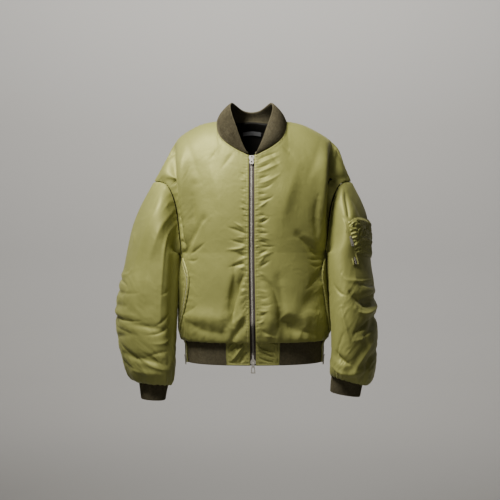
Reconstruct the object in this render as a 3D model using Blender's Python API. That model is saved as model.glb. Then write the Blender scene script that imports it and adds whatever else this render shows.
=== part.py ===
"""A satin nylon bomber jacket, filled out as it is when worn, with nobody in it.

Metres, +Z up, +X the wearer's left, the front faces -Y. The origin lies between the shoulders at the
height of the neck seam, where the wearer's shoulders carry the jacket. Each cloth piece is a wall lofted
through sections: the outer points come from a surface function, and the inner points lie one wall
thickness behind them.
"""

import math

import bmesh
import bpy
import numpy as np
from mathutils import Matrix, Vector

# ---------------------------------------------------------------- driving dimensions

SHELL_WALL = 0.0024  # nylon, light wadding and lining, pressed together
RIB_WALL = 0.0022
RIB_RISE = 0.0009
TAPE_WALL = 0.0010
LINING_WALL = 0.0010
GAP = 0.0003  # between two pieces at a seam or face to face
SQUARENESS = 2.35  # of the body's horizontal sections: 2 is an ellipse

ZIP_OPENING = 0.0078  # from the zip's middle to the edge of each front
ZIP_TEETH = {"half": 0.0027, "thick": 0.0025}
ZIP_TAPE = {"inner": 0.0032, "outer": 0.0190}  # from the zip's middle
ZIP_DEPTH = SHELL_WALL + 0.0005  # from the fronts' outer face back to the tape's face

UNDERARM_SHARE = 0.42  # of a body panel's length, hem seam to shoulder, that lies below the armhole
NECK_SHARE = 0.40  # of a body panel's width, centre to side, that ends at the neck seam
HEM_TAB = {"width": 0.066, "wall": 0.0025}
HEM_EDGE = -0.6605
SIDE_ZIP = {"top": -0.375, "tape_half": 0.0060, "teeth_half": 0.0021, "teeth_rise": 0.0015}
POCKET_WALL = 0.0020
SLEEVE_TWIST = 0.20  # how far a sleeve's inner edge lies in front of its middle, as a share of its depth
LEFT, RIGHT = 1, -1  # the wearer's sides, as the sign of X


def table(columns, *rows):
    """Column name to array. Each row starts with the name of its section."""
    return {
        name: np.array([row[i + 1] for row in rows], float)
        for i, name in enumerate(columns.split())
    }


# Body sections from the hem seam up to the armhole. The body hangs a little to the wearer's left, so the two
# half widths differ. seam_left and seam_right are where the side seams lie: they run well forward of the middle.
TORSO = table(
    "height half_left half_right front back seam_left seam_right zip_x",
    ("hem_seam", -0.5905, 0.2046, 0.1886, 0.1406, 0.1186, -0.050, -0.050, 0.0035),
    ("lip", -0.5985, 0.2140, 0.1980, 0.1500, 0.1280, -0.050, -0.050, 0.0035),
    ("blouse", -0.578, 0.2230, 0.2060, 0.1585, 0.1360, -0.052, -0.054, 0.0030),
    ("waist", -0.540, 0.2245, 0.2090, 0.1590, 0.1370, -0.062, -0.072, 0.0025),
    ("midriff", -0.470, 0.2205, 0.2080, 0.1560, 0.1340, -0.074, -0.092, 0.0015),
    ("ribs", -0.410, 0.2160, 0.2040, 0.1530, 0.1340, -0.076, -0.086, 0.0005),
    ("underarm", -0.355, 0.2110, 0.2000, 0.1490, 0.1350, -0.040, -0.040, 0.0000),
)

# The hem rib's sections, from its seam to its edge.
HEM = table(
    "height half_left half_right front back seam_left seam_right zip_x",
    ("seam", -0.5895, 0.2034, 0.1874, 0.1394, 0.1174, -0.050, -0.050, 0.0035),
    ("middle", -0.628, 0.2045, 0.1875, 0.1400, 0.1170, -0.052, -0.052, 0.0038),
    ("edge", HEM_EDGE, 0.2030, 0.1855, 0.1380, 0.1150, -0.054, -0.054, 0.0040),
)

# The shoulder's ridge, from the neck to the top of the sleeve. The right shoulder rounds over sooner.
SHOULDER = table(
    "x_left x_right y height",
    ("neck", 0.0985, 0.0985, 0.010, 0.018),
    ("trapezius", 0.1410, 0.1410, 0.009, 0.0095),
    ("middle", 0.1740, 0.1720, 0.007, -0.005),
    ("outer", 0.2210, 0.2095, 0.004, -0.033),
    ("corner", 0.2500, 0.2300, 0.002, -0.062),
    ("over", 0.2610, 0.2450, 0.000, -0.095),
    ("sleeve_top", 0.2835, 0.2760, 0.000, -0.1515),
)

# The front neckline as seen from the front, and the back neckline as seen from above.
NECK_FRONT = table(
    "x height",
    ("centre", ZIP_OPENING, -0.0880),
    ("low", 0.0385, -0.0735),
    ("turn", 0.0600, -0.0600),
    ("rise", 0.0790, -0.0440),
    ("side", 0.0925, -0.0240),
    ("steep", 0.0980, -0.0020),
    ("shoulder", 0.0985, 0.0180),
)
NECK_BACK = table(
    "x y",
    ("centre", 0.0000, 0.088),
    ("flat", 0.0350, 0.085),
    ("turn", 0.0680, 0.070),
    ("side", 0.0890, 0.044),
    ("shoulder", 0.0985, 0.010),
)

# The armhole seam. reach goes from the underarm, 0, to the sleeve top, 1, across the body.
ARMHOLE_FRONT = table(
    "reach y height",
    ("front_top_outer", 0.72, -0.038, -0.1555),
    ("front_top", 0.46, -0.062, -0.1710),
    ("front_high", 0.27, -0.064, -0.2030),
    ("front_middle", 0.14, -0.056, -0.2550),
    ("front_low", 0.05, -0.052, -0.3150),
)
ARMHOLE_BACK = table(
    "reach y height",
    ("back_low", 0.03, 0.020, -0.3500),
    ("back_under", 0.08, 0.056, -0.3150),
    ("back_middle", 0.17, 0.076, -0.2550),
    ("back_high", 0.31, 0.082, -0.2020),
    ("back_top", 0.50, 0.072, -0.1680),
    ("back_top_outer", 0.76, 0.042, -0.1540),
)

# Sleeve sections below the armhole: how far the inner and outer edges lie from the middle of the body, the
# front and back edges, the height at the section's middle, and drop, how much lower the outer edge lies than
# the inner.
SLEEVE = {
    LEFT: table(
        "height inner outer front back drop",
        ("biceps", -0.375, 0.2125, 0.3440, -0.116, 0.088, 0.030),
        ("above_elbow", -0.440, 0.2150, 0.3520, -0.130, 0.070, 0.018),
        ("elbow", -0.515, 0.2165, 0.3540, -0.143, 0.050, 0.010),
        ("forearm", -0.585, 0.2185, 0.3555, -0.150, 0.035, 0.010),
        ("lower", -0.645, 0.2160, 0.3510, -0.150, 0.022, 0.016),
        ("blouse", -0.686, 0.2140, 0.3420, -0.144, 0.010, 0.024),
        ("turn", -0.7060, 0.2180, 0.3270, -0.130, -0.004, 0.032),
        ("cuff_seam", -0.7030, 0.2215, 0.3100, -0.115, -0.025, 0.031),
    ),
    RIGHT: table(
        "height inner outer front back drop",
        ("biceps", -0.375, 0.2020, 0.3640, -0.112, 0.086, 0.030),
        ("above_elbow", -0.440, 0.2035, 0.3785, -0.122, 0.070, 0.018),
        ("elbow", -0.515, 0.2045, 0.3860, -0.132, 0.052, 0.008),
        ("forearm", -0.585, 0.2060, 0.3800, -0.138, 0.037, 0.004),
        ("lower", -0.645, 0.2085, 0.3665, -0.138, 0.024, 0.000),
        ("blouse", -0.690, 0.2120, 0.3510, -0.132, 0.010, -0.006),
        ("turn", -0.7130, 0.2205, 0.3330, -0.118, -0.006, -0.006),
        ("cuff_seam", -0.7100, 0.2275, 0.3150, -0.104, -0.026, -0.004),
    ),
}
CUFF = {
    LEFT: table(
        "height inner outer front back drop",
        ("seam", -0.7020, 0.2224, 0.3091, -0.1141, -0.0259, 0.031),
        ("middle", -0.7280, 0.2190, 0.3040, -0.113, -0.033, 0.023),
        ("edge", -0.7460, 0.2175, 0.3005, -0.112, -0.038, 0.0175),
    ),
    RIGHT: table(
        "height inner outer front back drop",
        ("seam", -0.7090, 0.2284, 0.3141, -0.1031, -0.0269, -0.004),
        ("middle", -0.7370, 0.2350, 0.3095, -0.104, -0.034, -0.002),
        ("edge", -0.7600, 0.2385, 0.3060, -0.104, -0.040, 0.000),
    ),
}

# The collar's top edge, from the zip round to the centre back. The band tapers to nothing at the zip.
COLLAR_EDGE = table(
    "x y height",
    ("zip_end", 0.0130, -0.1170, -0.0815),
    ("lapel_low", 0.0287, -0.1105, -0.0465),
    ("lapel", 0.0400, -0.1000, -0.0143),
    ("lapel_high", 0.0514, -0.0830, 0.0188),
    ("throat", 0.0590, -0.0560, 0.0530),
    ("peak", 0.0560, -0.0250, 0.0675),
    ("side", 0.0500, 0.0060, 0.0700),
    ("back_side", 0.0375, 0.0470, 0.0655),
    ("back", 0.0220, 0.0690, 0.0590),
    ("centre_back", 0.0000, 0.0770, 0.0560),
)

# ---------------------------------------------------------------- curves


def cubic(knots, rows, at):
    """A natural cubic spline through rows (one at each knot), read at the positions at."""
    knots = np.asarray(knots, float)
    rows = np.asarray(rows, float).reshape(len(knots), -1)
    at = np.asarray(at, float)
    steps = np.diff(knots)
    system = np.eye(len(knots))
    right_side = np.zeros_like(rows)
    for i in range(1, len(knots) - 1):
        system[i, i - 1 : i + 2] = (
            steps[i - 1],
            2 * (steps[i - 1] + steps[i]),
            steps[i],
        )
        rise = (rows[i + 1] - rows[i]) / steps[i]
        right_side[i] = 6 * (rise - (rows[i] - rows[i - 1]) / steps[i - 1])
    bend = np.linalg.solve(system, right_side)
    i = np.clip(np.searchsorted(knots, at, side="right") - 1, 0, len(knots) - 2)
    step = steps[i][..., None]
    low = (knots[i + 1] - at)[..., None] / step
    high = 1 - low
    curved = (low**3 - low) * bend[i] + (high**3 - high) * bend[i + 1]
    return low * rows[i] + high * rows[i + 1] + curved * step**2 / 6


def chord_knots(rows):
    """Where each row lies along the polyline through them, from 0 to 1."""
    lengths = np.linalg.norm(np.diff(rows, axis=0), axis=1)
    along = np.concatenate([[0], np.cumsum(lengths)])
    return along / along[-1]


def ease(x):
    x = np.clip(x, 0, 1)
    return x * x * (3 - 2 * x)


def at_share(points, share):
    """Points at these shares of a dense polyline's length."""
    knots = chord_knots(points)
    return np.stack(
        [np.interp(share, knots, points[:, k]) for k in range(points.shape[1])], axis=-1
    )


# ---------------------------------------------------------------- the body's base surface


def section_sizes(sections, share):
    """The sizes of a body section at a share of the way through the table."""
    path = np.stack([sections["height"], sections["half_left"]], axis=1)
    names = list(sections)
    values = cubic(
        chord_knots(path), np.stack([sections[n] for n in names], axis=1), share
    )
    return dict(zip(names, values))


def half_ring(sizes, side):
    """A dense horizontal half section, centre front to centre back."""
    angle = np.linspace(0, math.pi, 181)
    half = sizes["half_left"] if side == LEFT else sizes["half_right"]
    across = half * np.abs(np.sin(angle)) ** (2 / SQUARENESS)
    along = np.abs(np.cos(angle)) ** (2 / SQUARENESS)
    depth = np.where(
        angle < math.pi / 2, -sizes["front"] * along, sizes["back"] * along
    )
    return np.stack([side * across, depth, np.full_like(angle, sizes["height"])], axis=1)


def seam_place(sizes, side):
    """Where the side seam lies on a section, from front to back."""
    return sizes["seam_left"] if side == LEFT else sizes["seam_right"]


def ring_row(sizes, side, face, shares):
    """Points of one body section on the front, from the zip's edge to the side seam, or on the back, from the
    centre back to the side seam."""
    ring = half_ring(sizes, side)
    knots = chord_knots(ring)
    seam = np.interp(seam_place(sizes, side), ring[:, 1], knots)
    if face == "front":
        edge = ZIP_OPENING + side * sizes["zip_x"]
        start = np.interp(edge, side * ring[:60, 0], knots[:60])
    else:
        start = 1.0
    return at_share(ring, start + (seam - start) * shares)


def sleeve_top(side):
    name = "x_left" if side == LEFT else "x_right"
    return np.array([side * SHOULDER[name][-1], SHOULDER["y"][-1], SHOULDER["height"][-1]])


def underarm(side):
    return ring_row(section_sizes(TORSO, 1.0), side, "front", np.array([1.0]))[0]


def armhole(side, share):
    """The armhole seam, a closed loop from the sleeve top down its front and up its back. Returns its points
    and the share of the loop at the underarm."""
    top, low = sleeve_top(side), underarm(side)

    def seam_points(rows):
        x = low[0] + rows["reach"] * (top[0] - low[0])
        return np.stack([x, rows["y"], rows["height"]], axis=1)

    front, back = seam_points(ARMHOLE_FRONT), seam_points(ARMHOLE_BACK)
    loop = np.vstack([top, front, low, back])
    around = np.vstack([loop, loop, loop, loop[:1]])
    lengths = np.linalg.norm(np.diff(around, axis=0), axis=1)
    along = np.concatenate([[0], np.cumsum(lengths)])
    total = along[len(loop)]
    points = cubic(along, around, total * (1 + np.asarray(share, float)))
    return points, along[len(front) + 1] / total


def ridge(side, share):
    """The shoulder seam, from the neck to the sleeve top."""
    name = "x_left" if side == LEFT else "x_right"
    rows = np.stack([side * SHOULDER[name], SHOULDER["y"], SHOULDER["height"]], axis=1)
    return cubic(chord_knots(rows), rows, share)


def dome(start, end, power, stop):
    """A dense column from start up and over to end: a quarter of a superellipse, stopped at angle stop."""
    angle = np.linspace(0, stop, 61)[:, None]
    rise = np.sin(angle) ** (2 / power)
    back = 1 - np.cos(angle) ** (2 / power)
    return np.hstack(
        [
            start[0] + (end[0] - start[0]) * back,
            start[1] + (end[1] - start[1]) * back,
            start[2] + (end[2] - start[2]) * rise,
        ]
    )


def yoke_column(side, face, s, start):
    """The dense column of a body panel at share s of its width, from the underarm level to its top."""
    if s >= NECK_SHARE:
        end = ridge(side, np.array([(s - NECK_SHARE) / (1 - NECK_SHARE)]))[0]
        return dome(start, end, 2.35, math.pi / 2)
    share = s / NECK_SHARE
    seam = ridge(side, np.array([0.0]))[0]
    lift = 0.030 * (1 - ease(share))
    if face == "front":
        power = 2.35
        rows = np.stack([NECK_FRONT["x"], NECK_FRONT["height"]], axis=1)
        x, height = cubic(chord_knots(rows), rows, np.array([share]))[0]
        top = seam[2] + 0.3 * lift
        rise = min((height - start[2]) / (top - start[2]), 1.0)
        stop = math.asin(rise ** (power / 2))
    else:
        power = 2.35 + 1.1 * (1 - ease(share))
        rows = np.stack([NECK_BACK["x"], NECK_BACK["y"]], axis=1)
        x, y = cubic(chord_knots(rows), rows, np.array([share]))[0]
        top = seam[2] + lift
        stop = math.acos(((y - seam[1]) / (start[1] - seam[1])) ** (power / 2))
    over = 1 - math.cos(stop) ** (2 / power)
    end = np.array([start[0] + (side * x - start[0]) / over, seam[1], top])
    return dome(start, end, power, stop)


def body_base(side, face, s_at, t_at):
    """The smooth base of a body panel, at shares s of its width and t of its length: an array (s, t, 3)."""
    s_at, t_at = np.asarray(s_at, float), np.asarray(t_at, float)
    low = t_at <= UNDERARM_SHARE
    rows = [
        ring_row(section_sizes(TORSO, t / UNDERARM_SHARE), side, face, s_at)
        for t in t_at[low]
    ]
    high = (t_at[~low] - UNDERARM_SHARE) / (1 - UNDERARM_SHARE)
    if not len(high):
        return np.stack(rows, axis=1)
    chest = ring_row(section_sizes(TORSO, 1.0), side, face, np.append(s_at, 1.0))
    columns = np.stack(
        [
            at_share(yoke_column(side, face, s, start), high)
            for s, start in zip(np.append(s_at, 1.0), chest)
        ]
    )
    under = armhole(side, 0.0)[1]
    edge = armhole(side, under * (1 - high) if face == "front" else under + (1 - under) * high)[0]
    pull = ease((s_at - 0.42) / 0.58)[:, None, None] * (edge - columns[-1])
    upper = columns[:-1] + pull
    return np.concatenate([np.stack(rows, axis=1), upper], axis=1) if rows else upper


# ---------------------------------------------------------------- the sleeve's base surface

# How the cloth leaves the armhole seam, as the way to the middle of the cap, by its place round the seam.
CAP_START = table(
    "out forward down",
    ("top", 0.078, 0.000, 0.120),
    ("front", 0.045, 0.075, 0.045),
    ("under", 0.018, 0.000, 0.028),
    ("back", 0.045, -0.070, 0.045),
)


def sleeve_ring(sections, side, angle, share):
    """Points round a sleeve or cuff section: angle 0 is the outer edge, a quarter turn the front."""
    names = list(sections)
    path = np.stack([sections["height"], sections["outer"] * 0.5], axis=1)
    values = cubic(
        chord_knots(path), np.stack([sections[n] for n in names], axis=1), share
    )
    height, inner, outer, front, back, drop = values
    across, along = np.cos(angle), np.sin(angle)
    power = 2 / 2.15
    across_full = np.sign(across) * np.abs(across) ** power
    along_full = np.sign(along) * np.abs(along) ** power
    x = (inner + outer) / 2 + (outer - inner) / 2 * across_full
    y = (front + back) / 2 - (back - front) / 2 * along_full + SLEEVE_TWIST * (back - front) * across_full
    z = height - drop / 2 * across_full
    return np.stack([side * x, y, z], axis=1)


def sleeve_base(side, around, v_at):
    """The smooth base of a sleeve, at shares of the way round it and v of its length: (around, v, 3)."""
    around = np.asarray(around, float)
    seam, under = armhole(side, around)
    angle = np.where(
        around < under,
        math.pi * around / under,
        math.pi * (1 + (around - under) / (1 - under)),
    )
    across, along = np.cos(angle), np.sin(angle)
    weights = [
        np.maximum(across, 0) ** 2,
        np.maximum(along, 0) ** 2,
        np.maximum(-across, 0) ** 2,
        np.maximum(-along, 0) ** 2,
    ]
    out, forward, down = (
        sum(w * value for w, value in zip(weights, CAP_START[name]))
        for name in ("out", "forward", "down")
    )
    leave = 3 * np.stack([side * out, -forward, -down], axis=1)
    sections = SLEEVE[side]
    first = sleeve_ring(sections, side, angle, 0.0)
    arrive = 0.16 * np.maximum(0.25, 0.6 + 0.4 * across)[:, None] * np.array([side * 0.25, 0, -1.0])
    rings = [seam]
    for mid in (0.33, 0.66):
        a, b = 1 - mid, mid
        rings.append(
            seam * (a * a * (1 + 2 * b))
            + first * (b * b * (1 + 2 * a))
            + leave * (a * a * b)
            - arrive * (a * b * b)
        )
    count = len(sections["height"])
    path = np.stack([sections["height"], sections["outer"] * 0.5], axis=1)
    shares = chord_knots(path)
    rings += [sleeve_ring(sections, side, angle, share) for share in shares]
    rings = np.stack(rings, axis=1)
    lengths = np.linalg.norm(np.diff(rings, axis=1), axis=2).mean(0)
    knots = np.concatenate([[0], np.cumsum(lengths)]) / lengths.sum()
    flat = np.moveaxis(rings, 1, 0).reshape(count + 3, -1)
    read = cubic(knots, flat, v_at).reshape(len(v_at), len(around), 3)
    return np.moveaxis(read, 0, 1)


# ---------------------------------------------------------------- the collar, hem and cuffs


def neck_seam(share):
    """The neck seam, from the zip on the wearer's right round the back to the zip on the left."""
    half = {}
    for side in (RIGHT, LEFT):
        points = []
        for face in ("front", "back"):
            shares = np.linspace(0, NECK_SHARE, 25)
            chest = ring_row(section_sizes(TORSO, 1.0), side, face, shares)
            ends = np.stack(
                [yoke_column(side, face, s, start)[-1] for s, start in zip(shares, chest)]
            )
            points.append(ends if face == "front" else ends[::-1])
        half[side] = np.vstack([points[0], points[1][1:]])
    loop = np.vstack([half[RIGHT], half[LEFT][::-1][1:]])
    return at_share(loop, share)


def collar_edge(share):
    """The collar's top edge, over the same shares as the neck seam."""
    half = np.stack([COLLAR_EDGE["x"], COLLAR_EDGE["y"], COLLAR_EDGE["height"]], axis=1)
    rows = np.vstack([half * (-1, 1, 1), half[:-1][::-1]])
    return cubic(chord_knots(rows), rows, share)


def collar_base(shares, v_at):
    """The collar band: neck seam at v 0, top edge at v 1, bowed out a little between them."""
    low, high = neck_seam(shares), collar_edge(shares)
    away = high - (0, 0.02, 0)
    away[:, 2] = 0
    away /= np.linalg.norm(away, axis=1)[:, None]
    width = np.linalg.norm(high - low, axis=1)[:, None]
    return np.stack(
        [
            low + (high - low) * v + away * width * 0.30 * v * (1 - v) * 1.6
            for v in v_at
        ],
        axis=1,
    )


# ---------------------------------------------------------------- folds

# The largest folds, on the panel that carries them: start and end (across, height), half width, depth
# (outward positive) and skew, which makes one flank steeper.
FOLD_COLUMNS = "x1 z1 x2 z2 width depth skew"
FRONT_FOLDS = {
    LEFT: table(
        FOLD_COLUMNS,
        ("chest_roll", 0.2060, -0.1050, 0.1960, -0.3100, 0.0200, 0.0080, 0.0),
        ("shoulder_crease", 0.2420, -0.0700, 0.2280, -0.1600, 0.0110, -0.0080, 0.0),
        ("side_zip_pull", 0.1320, -0.3050, 0.1880, -0.3650, 0.0130, -0.0090, 0.6),
        ("side_zip_dent", 0.1350, -0.5150, 0.1780, -0.4600, 0.0160, -0.0085, 0.0),
        ("zip_bulge", 0.0420, -0.4400, 0.0560, -0.5300, 0.0220, 0.0080, 0.0),
        ("tab_hang", 0.0800, -0.4300, 0.0950, -0.5500, 0.0200, -0.0090, 0.5),
        ("hem_shadow", 0.0950, -0.5400, 0.1750, -0.5650, 0.0200, -0.0070, 0.0),
        ("chest_fall", 0.1050, -0.1200, 0.0650, -0.3000, 0.0300, 0.0040, 0.0),
    ),
    RIGHT: table(
        FOLD_COLUMNS,
        ("chest_roll", 0.1960, -0.1050, 0.1860, -0.3200, 0.0190, 0.0080, 0.0),
        ("shoulder_crease", 0.2280, -0.0900, 0.2080, -0.1800, 0.0110, -0.0080, 0.0),
        ("chest_groove", 0.1560, -0.1700, 0.1620, -0.3000, 0.0130, -0.0065, 0.0),
        ("side_zip_pull", 0.1280, -0.2700, 0.1800, -0.3550, 0.0130, -0.0090, -0.6),
        ("belly_crescent", 0.0480, -0.4000, 0.0620, -0.5050, 0.0140, -0.0110, 0.5),
        ("zip_bulge", 0.0260, -0.4300, 0.0300, -0.5100, 0.0160, 0.0065, 0.0),
        ("tab_hang", 0.0250, -0.5000, 0.0850, -0.5700, 0.0200, -0.0110, 0.4),
        ("hem_roll", 0.0900, -0.5350, 0.1800, -0.5300, 0.0200, 0.0050, 0.0),
        ("hem_shadow", 0.1050, -0.5600, 0.1750, -0.5500, 0.0160, -0.0060, 0.0),
    ),
}
BACK_FOLDS = table(
    FOLD_COLUMNS,
    ("left_armhole_valley", 0.2150, -0.1300, 0.2000, -0.3200, 0.0180, -0.0160, 0.0),
    ("right_armhole_valley", -0.2080, -0.1300, -0.1950, -0.3200, 0.0180, -0.0160, 0.0),
    ("left_blade_fall", 0.1450, -0.1800, 0.1300, -0.4200, 0.0200, 0.0055, 0.0),
    ("right_blade_fall", -0.1350, -0.1700, -0.1250, -0.4300, 0.0200, 0.0055, 0.0),
    ("left_waist_dent", 0.0700, -0.4800, 0.1400, -0.5350, 0.0180, -0.0065, 0.5),
    ("right_waist_dent", -0.0450, -0.4700, -0.1350, -0.5300, 0.0180, -0.0065, -0.5),
    ("middle_dent", -0.0300, -0.5000, 0.0350, -0.5450, 0.0160, -0.0055, 0.4),
)
# On a sleeve the folds are placed by angle from the outer edge through the front, in degrees, and by height.
SLEEVE_COLUMNS = "a1 z1 a2 z2 width depth skew"
SLEEVE_FOLDS = {
    LEFT: table(
        SLEEVE_COLUMNS,
        ("front_pleat", 84, -0.1900, 92, -0.3600, 0.0120, -0.0070, 0.6),
        ("under_pocket", 10, -0.4450, 78, -0.4350, 0.0100, -0.0080, 0.5),
        ("elbow_arc", 8, -0.4800, 66, -0.4900, 0.0130, -0.0110, 0.5),
        ("forearm_arc", 5, -0.5300, 70, -0.5850, 0.0130, -0.0110, -0.4),
        ("lower_arc", 5, -0.6200, 66, -0.6500, 0.0120, -0.0070, 0.5),
        ("inner_roll", 110, -0.6500, 150, -0.6350, 0.0110, -0.0060, 0.0),
        ("side_pull_hollow", 203, -0.6120, 203, -0.6560, 0.0210, -0.0160, 0.0),
        ("cuff_roll", 40, -0.6700, 120, -0.6850, 0.0100, 0.0060, 0.0),
        ("back_elbow", 215, -0.4600, 320, -0.4900, 0.0150, -0.0100, 0.5),
        ("back_forearm", 200, -0.5600, 310, -0.5400, 0.0140, -0.0090, -0.5),
        ("back_lower", 220, -0.6350, 330, -0.6200, 0.0130, -0.0070, 0.5),
        ("cap_back", 250, -0.2200, 275, -0.3400, 0.0150, -0.0070, 0.0),
    ),
    RIGHT: table(
        SLEEVE_COLUMNS,
        ("front_crease", 62, -0.1800, 74, -0.5600, 0.0120, 0.0045, 0.0),
        ("elbow_nick", -8, -0.4550, 40, -0.4650, 0.0110, -0.0085, 0.6),
        ("elbow_roll", 5, -0.5000, 55, -0.4980, 0.0110, -0.0055, 0.5),
        ("outer_nick", -10, -0.5200, 30, -0.5450, 0.0100, -0.0090, 0.6),
        ("front_roll", 70, -0.5450, 130, -0.5600, 0.0110, -0.0065, 0.5),
        ("outer_roll", 10, -0.5950, 60, -0.5850, 0.0120, -0.0060, -0.5),
        ("lower_arc", 45, -0.6300, 105, -0.6450, 0.0120, -0.0085, 0.5),
        ("side_pull_hollow", 203, -0.6120, 203, -0.6560, 0.0210, -0.0060, 0.0),
        ("cuff_roll", 60, -0.6750, 120, -0.6850, 0.0090, 0.0060, 0.0),
        ("back_elbow", 215, -0.4700, 325, -0.4950, 0.0150, -0.0100, 0.5),
        ("back_forearm", 205, -0.5500, 300, -0.5700, 0.0140, -0.0090, -0.5),
        ("back_lower", 220, -0.6300, 330, -0.6250, 0.0130, -0.0070, 0.5),
        ("cap_back", 250, -0.2200, 275, -0.3400, 0.0150, -0.0070, 0.0),
    ),
}


def fold_height(folds, across, height):
    """The sum of the folds' offsets at points (across, height). Each fold fades out at its two ends."""
    total = np.zeros_like(across)
    for x1, z1, x2, z2, width, depth, skew in zip(*folds.values()):
        length = math.hypot(x2 - x1, z2 - z1)
        along = ((across - x1) * (x2 - x1) + (height - z1) * (z2 - z1)) / length**2
        off = ((across - x1) * (z2 - z1) - (height - z1) * (x2 - x1)) / length / width
        inside = np.clip(along, 0, 1)
        past = (along - inside) * length / width
        fade = np.exp(-(past**2)) * (0.35 + 0.65 * np.sin(math.pi * np.clip(inside, 0.12, 0.88)))
        total += depth * fade * np.exp(-(off**2)) * (1 + skew * np.tanh(2 * off))
    return total


def unit(vectors):
    return vectors / np.maximum(np.linalg.norm(vectors, axis=-1), 1e-12)[..., None]


def normals(surface, s_at, t_at, turn, low=0.0, closed=False):
    """Unit normals of a surface function at shares s and t. turn, 1 or -1, points them out of the cloth."""
    step = 0.0012
    s_low, s_high = s_at - step, s_at + step
    if not closed:
        s_low, s_high = np.maximum(s_low, low), np.minimum(s_high, 1)
    t_low, t_high = np.maximum(t_at - step, 0), np.minimum(t_at + step, 1)
    along = surface(s_high, t_at) - surface(s_low, t_at)
    up = surface(s_at, t_high) - surface(s_at, t_low)
    return unit(np.cross(along, up) * turn)


# Gathers: how far apart they are along a seam, how high they stand and how far they run into the cloth.
HEM_GATHER = {"pitch": 0.034, "height": 0.0035, "reach": 0.045}
CUFF_GATHERS = 9
CUFF_GATHER_HEIGHT = 0.0035
SLEEVE_RADIUS = 0.083  # of a middling sleeve section, to turn an angle into a width


def front_outer(side, s_at, t_at):
    """The outer points of a front, with its folds and the gathers over the hem rib."""

    def smooth(s, t):
        return body_base(side, "front", s, t)

    base = smooth(s_at, t_at)
    normal = normals(smooth, s_at, t_at, side)
    across, height = side * base[..., 0], base[..., 2]
    offset = fold_height(FRONT_FOLDS[side], across, height)
    edge = ease((1 - s_at) / 0.16)[:, None] * ease(t_at / 0.05)[None, :]
    top = ease((1 - t_at) / 0.07)[None, :]
    from_zip = across - across[:1]
    behind_zip = np.where(offset < 0, ease((from_zip - 0.016) / 0.025), 1)
    offset = offset * edge * top * behind_zip
    rise = t_at * 0.60
    gather = HEM_GATHER["height"] * np.exp(-rise / HEM_GATHER["reach"]) * ease(t_at / 0.03)
    turns = s_at * 0.29 / HEM_GATHER["pitch"]
    offset += gather[None, :] * np.sin(2 * math.pi * turns + 1.0)[:, None] * edge
    return base + normal * offset[..., None]


def back_base(s_at, t_at):
    right = body_base(RIGHT, "back", -s_at[s_at < 0], t_at)
    left = body_base(LEFT, "back", s_at[s_at >= 0], t_at)
    return np.concatenate([right, left])


def back_outer(s_at, t_at):
    """The outer points of the back. s runs from the wearer's right side seam, -1, to the left one, 1."""
    base = back_base(s_at, t_at)
    normal = normals(back_base, s_at, t_at, -1, low=-1)
    across, height = base[..., 0], base[..., 2]
    edge = ease((1 - np.abs(s_at)) / 0.14)[:, None] * ease(t_at / 0.05)[None, :]
    offset = fold_height(BACK_FOLDS, across, height) * edge * ease((1 - t_at) / 0.06)[None, :]
    rise = t_at * 0.60
    gather = HEM_GATHER["height"] * np.exp(-rise / HEM_GATHER["reach"]) * ease(t_at / 0.03)
    turns = s_at * 0.27 / HEM_GATHER["pitch"]
    offset += gather[None, :] * np.sin(2 * math.pi * turns)[:, None] * edge
    return base + normal * offset[..., None]


def sleeve_angle(side, around):
    under = armhole(side, 0.0)[1]
    return np.where(
        around < under,
        180 * around / under,
        180 * (1 + (around - under) / (1 - under)),
    )


def sleeve_outer(side, around, v_at):
    """The outer points of a sleeve, with its folds and the gathers over the cuff."""
    around = np.mod(around, 1)

    def smooth(s, t):
        return sleeve_base(side, np.mod(s, 1), t)

    base = smooth(around, v_at)
    normal = normals(smooth, around, v_at, side, closed=True)
    angle = sleeve_angle(side, around)
    across = np.repeat(np.radians(angle)[:, None] * SLEEVE_RADIUS, len(v_at), axis=1)
    height = base[..., 2]
    offset = np.zeros_like(across)
    for turn in (-360, 0, 360):
        near = dict(SLEEVE_FOLDS[side])
        for end in ("a1", "a2"):
            near[end] = np.radians(near[end] + turn) * SLEEVE_RADIUS
        offset += fold_height(near, across, height)
    offset *= ease(v_at / 0.10)[None, :] * ease((1 - v_at) / 0.06)[None, :]
    low = np.exp(-(((1 - v_at) - 0.07) ** 2) / 0.05**2) * ease((1 - v_at) / 0.05)
    waves = np.sin(np.radians(angle) * CUFF_GATHERS + 0.7 * side)
    offset += CUFF_GATHER_HEIGHT * waves[:, None] * low[None, :]
    return base + normal * offset[..., None]


# ---------------------------------------------------------------- solids


def material(name, colour, roughness, metallic=0.0):
    made = bpy.data.materials.new(name)
    made.use_nodes = True
    shader = made.node_tree.nodes["Principled BSDF"]
    shader.inputs["Base Color"].default_value = (*colour, 1)
    shader.inputs["Roughness"].default_value = roughness
    shader.inputs["Metallic"].default_value = metallic
    return made


def place(name, mesh, finish, smooth=True):
    made = bpy.data.objects.new(name, mesh)
    jacket.objects.link(made)
    mesh.materials.append(finish)
    if smooth:
        mesh.shade_smooth()
        mesh.set_sharp_from_angle(angle=math.radians(50))
    return made


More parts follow.
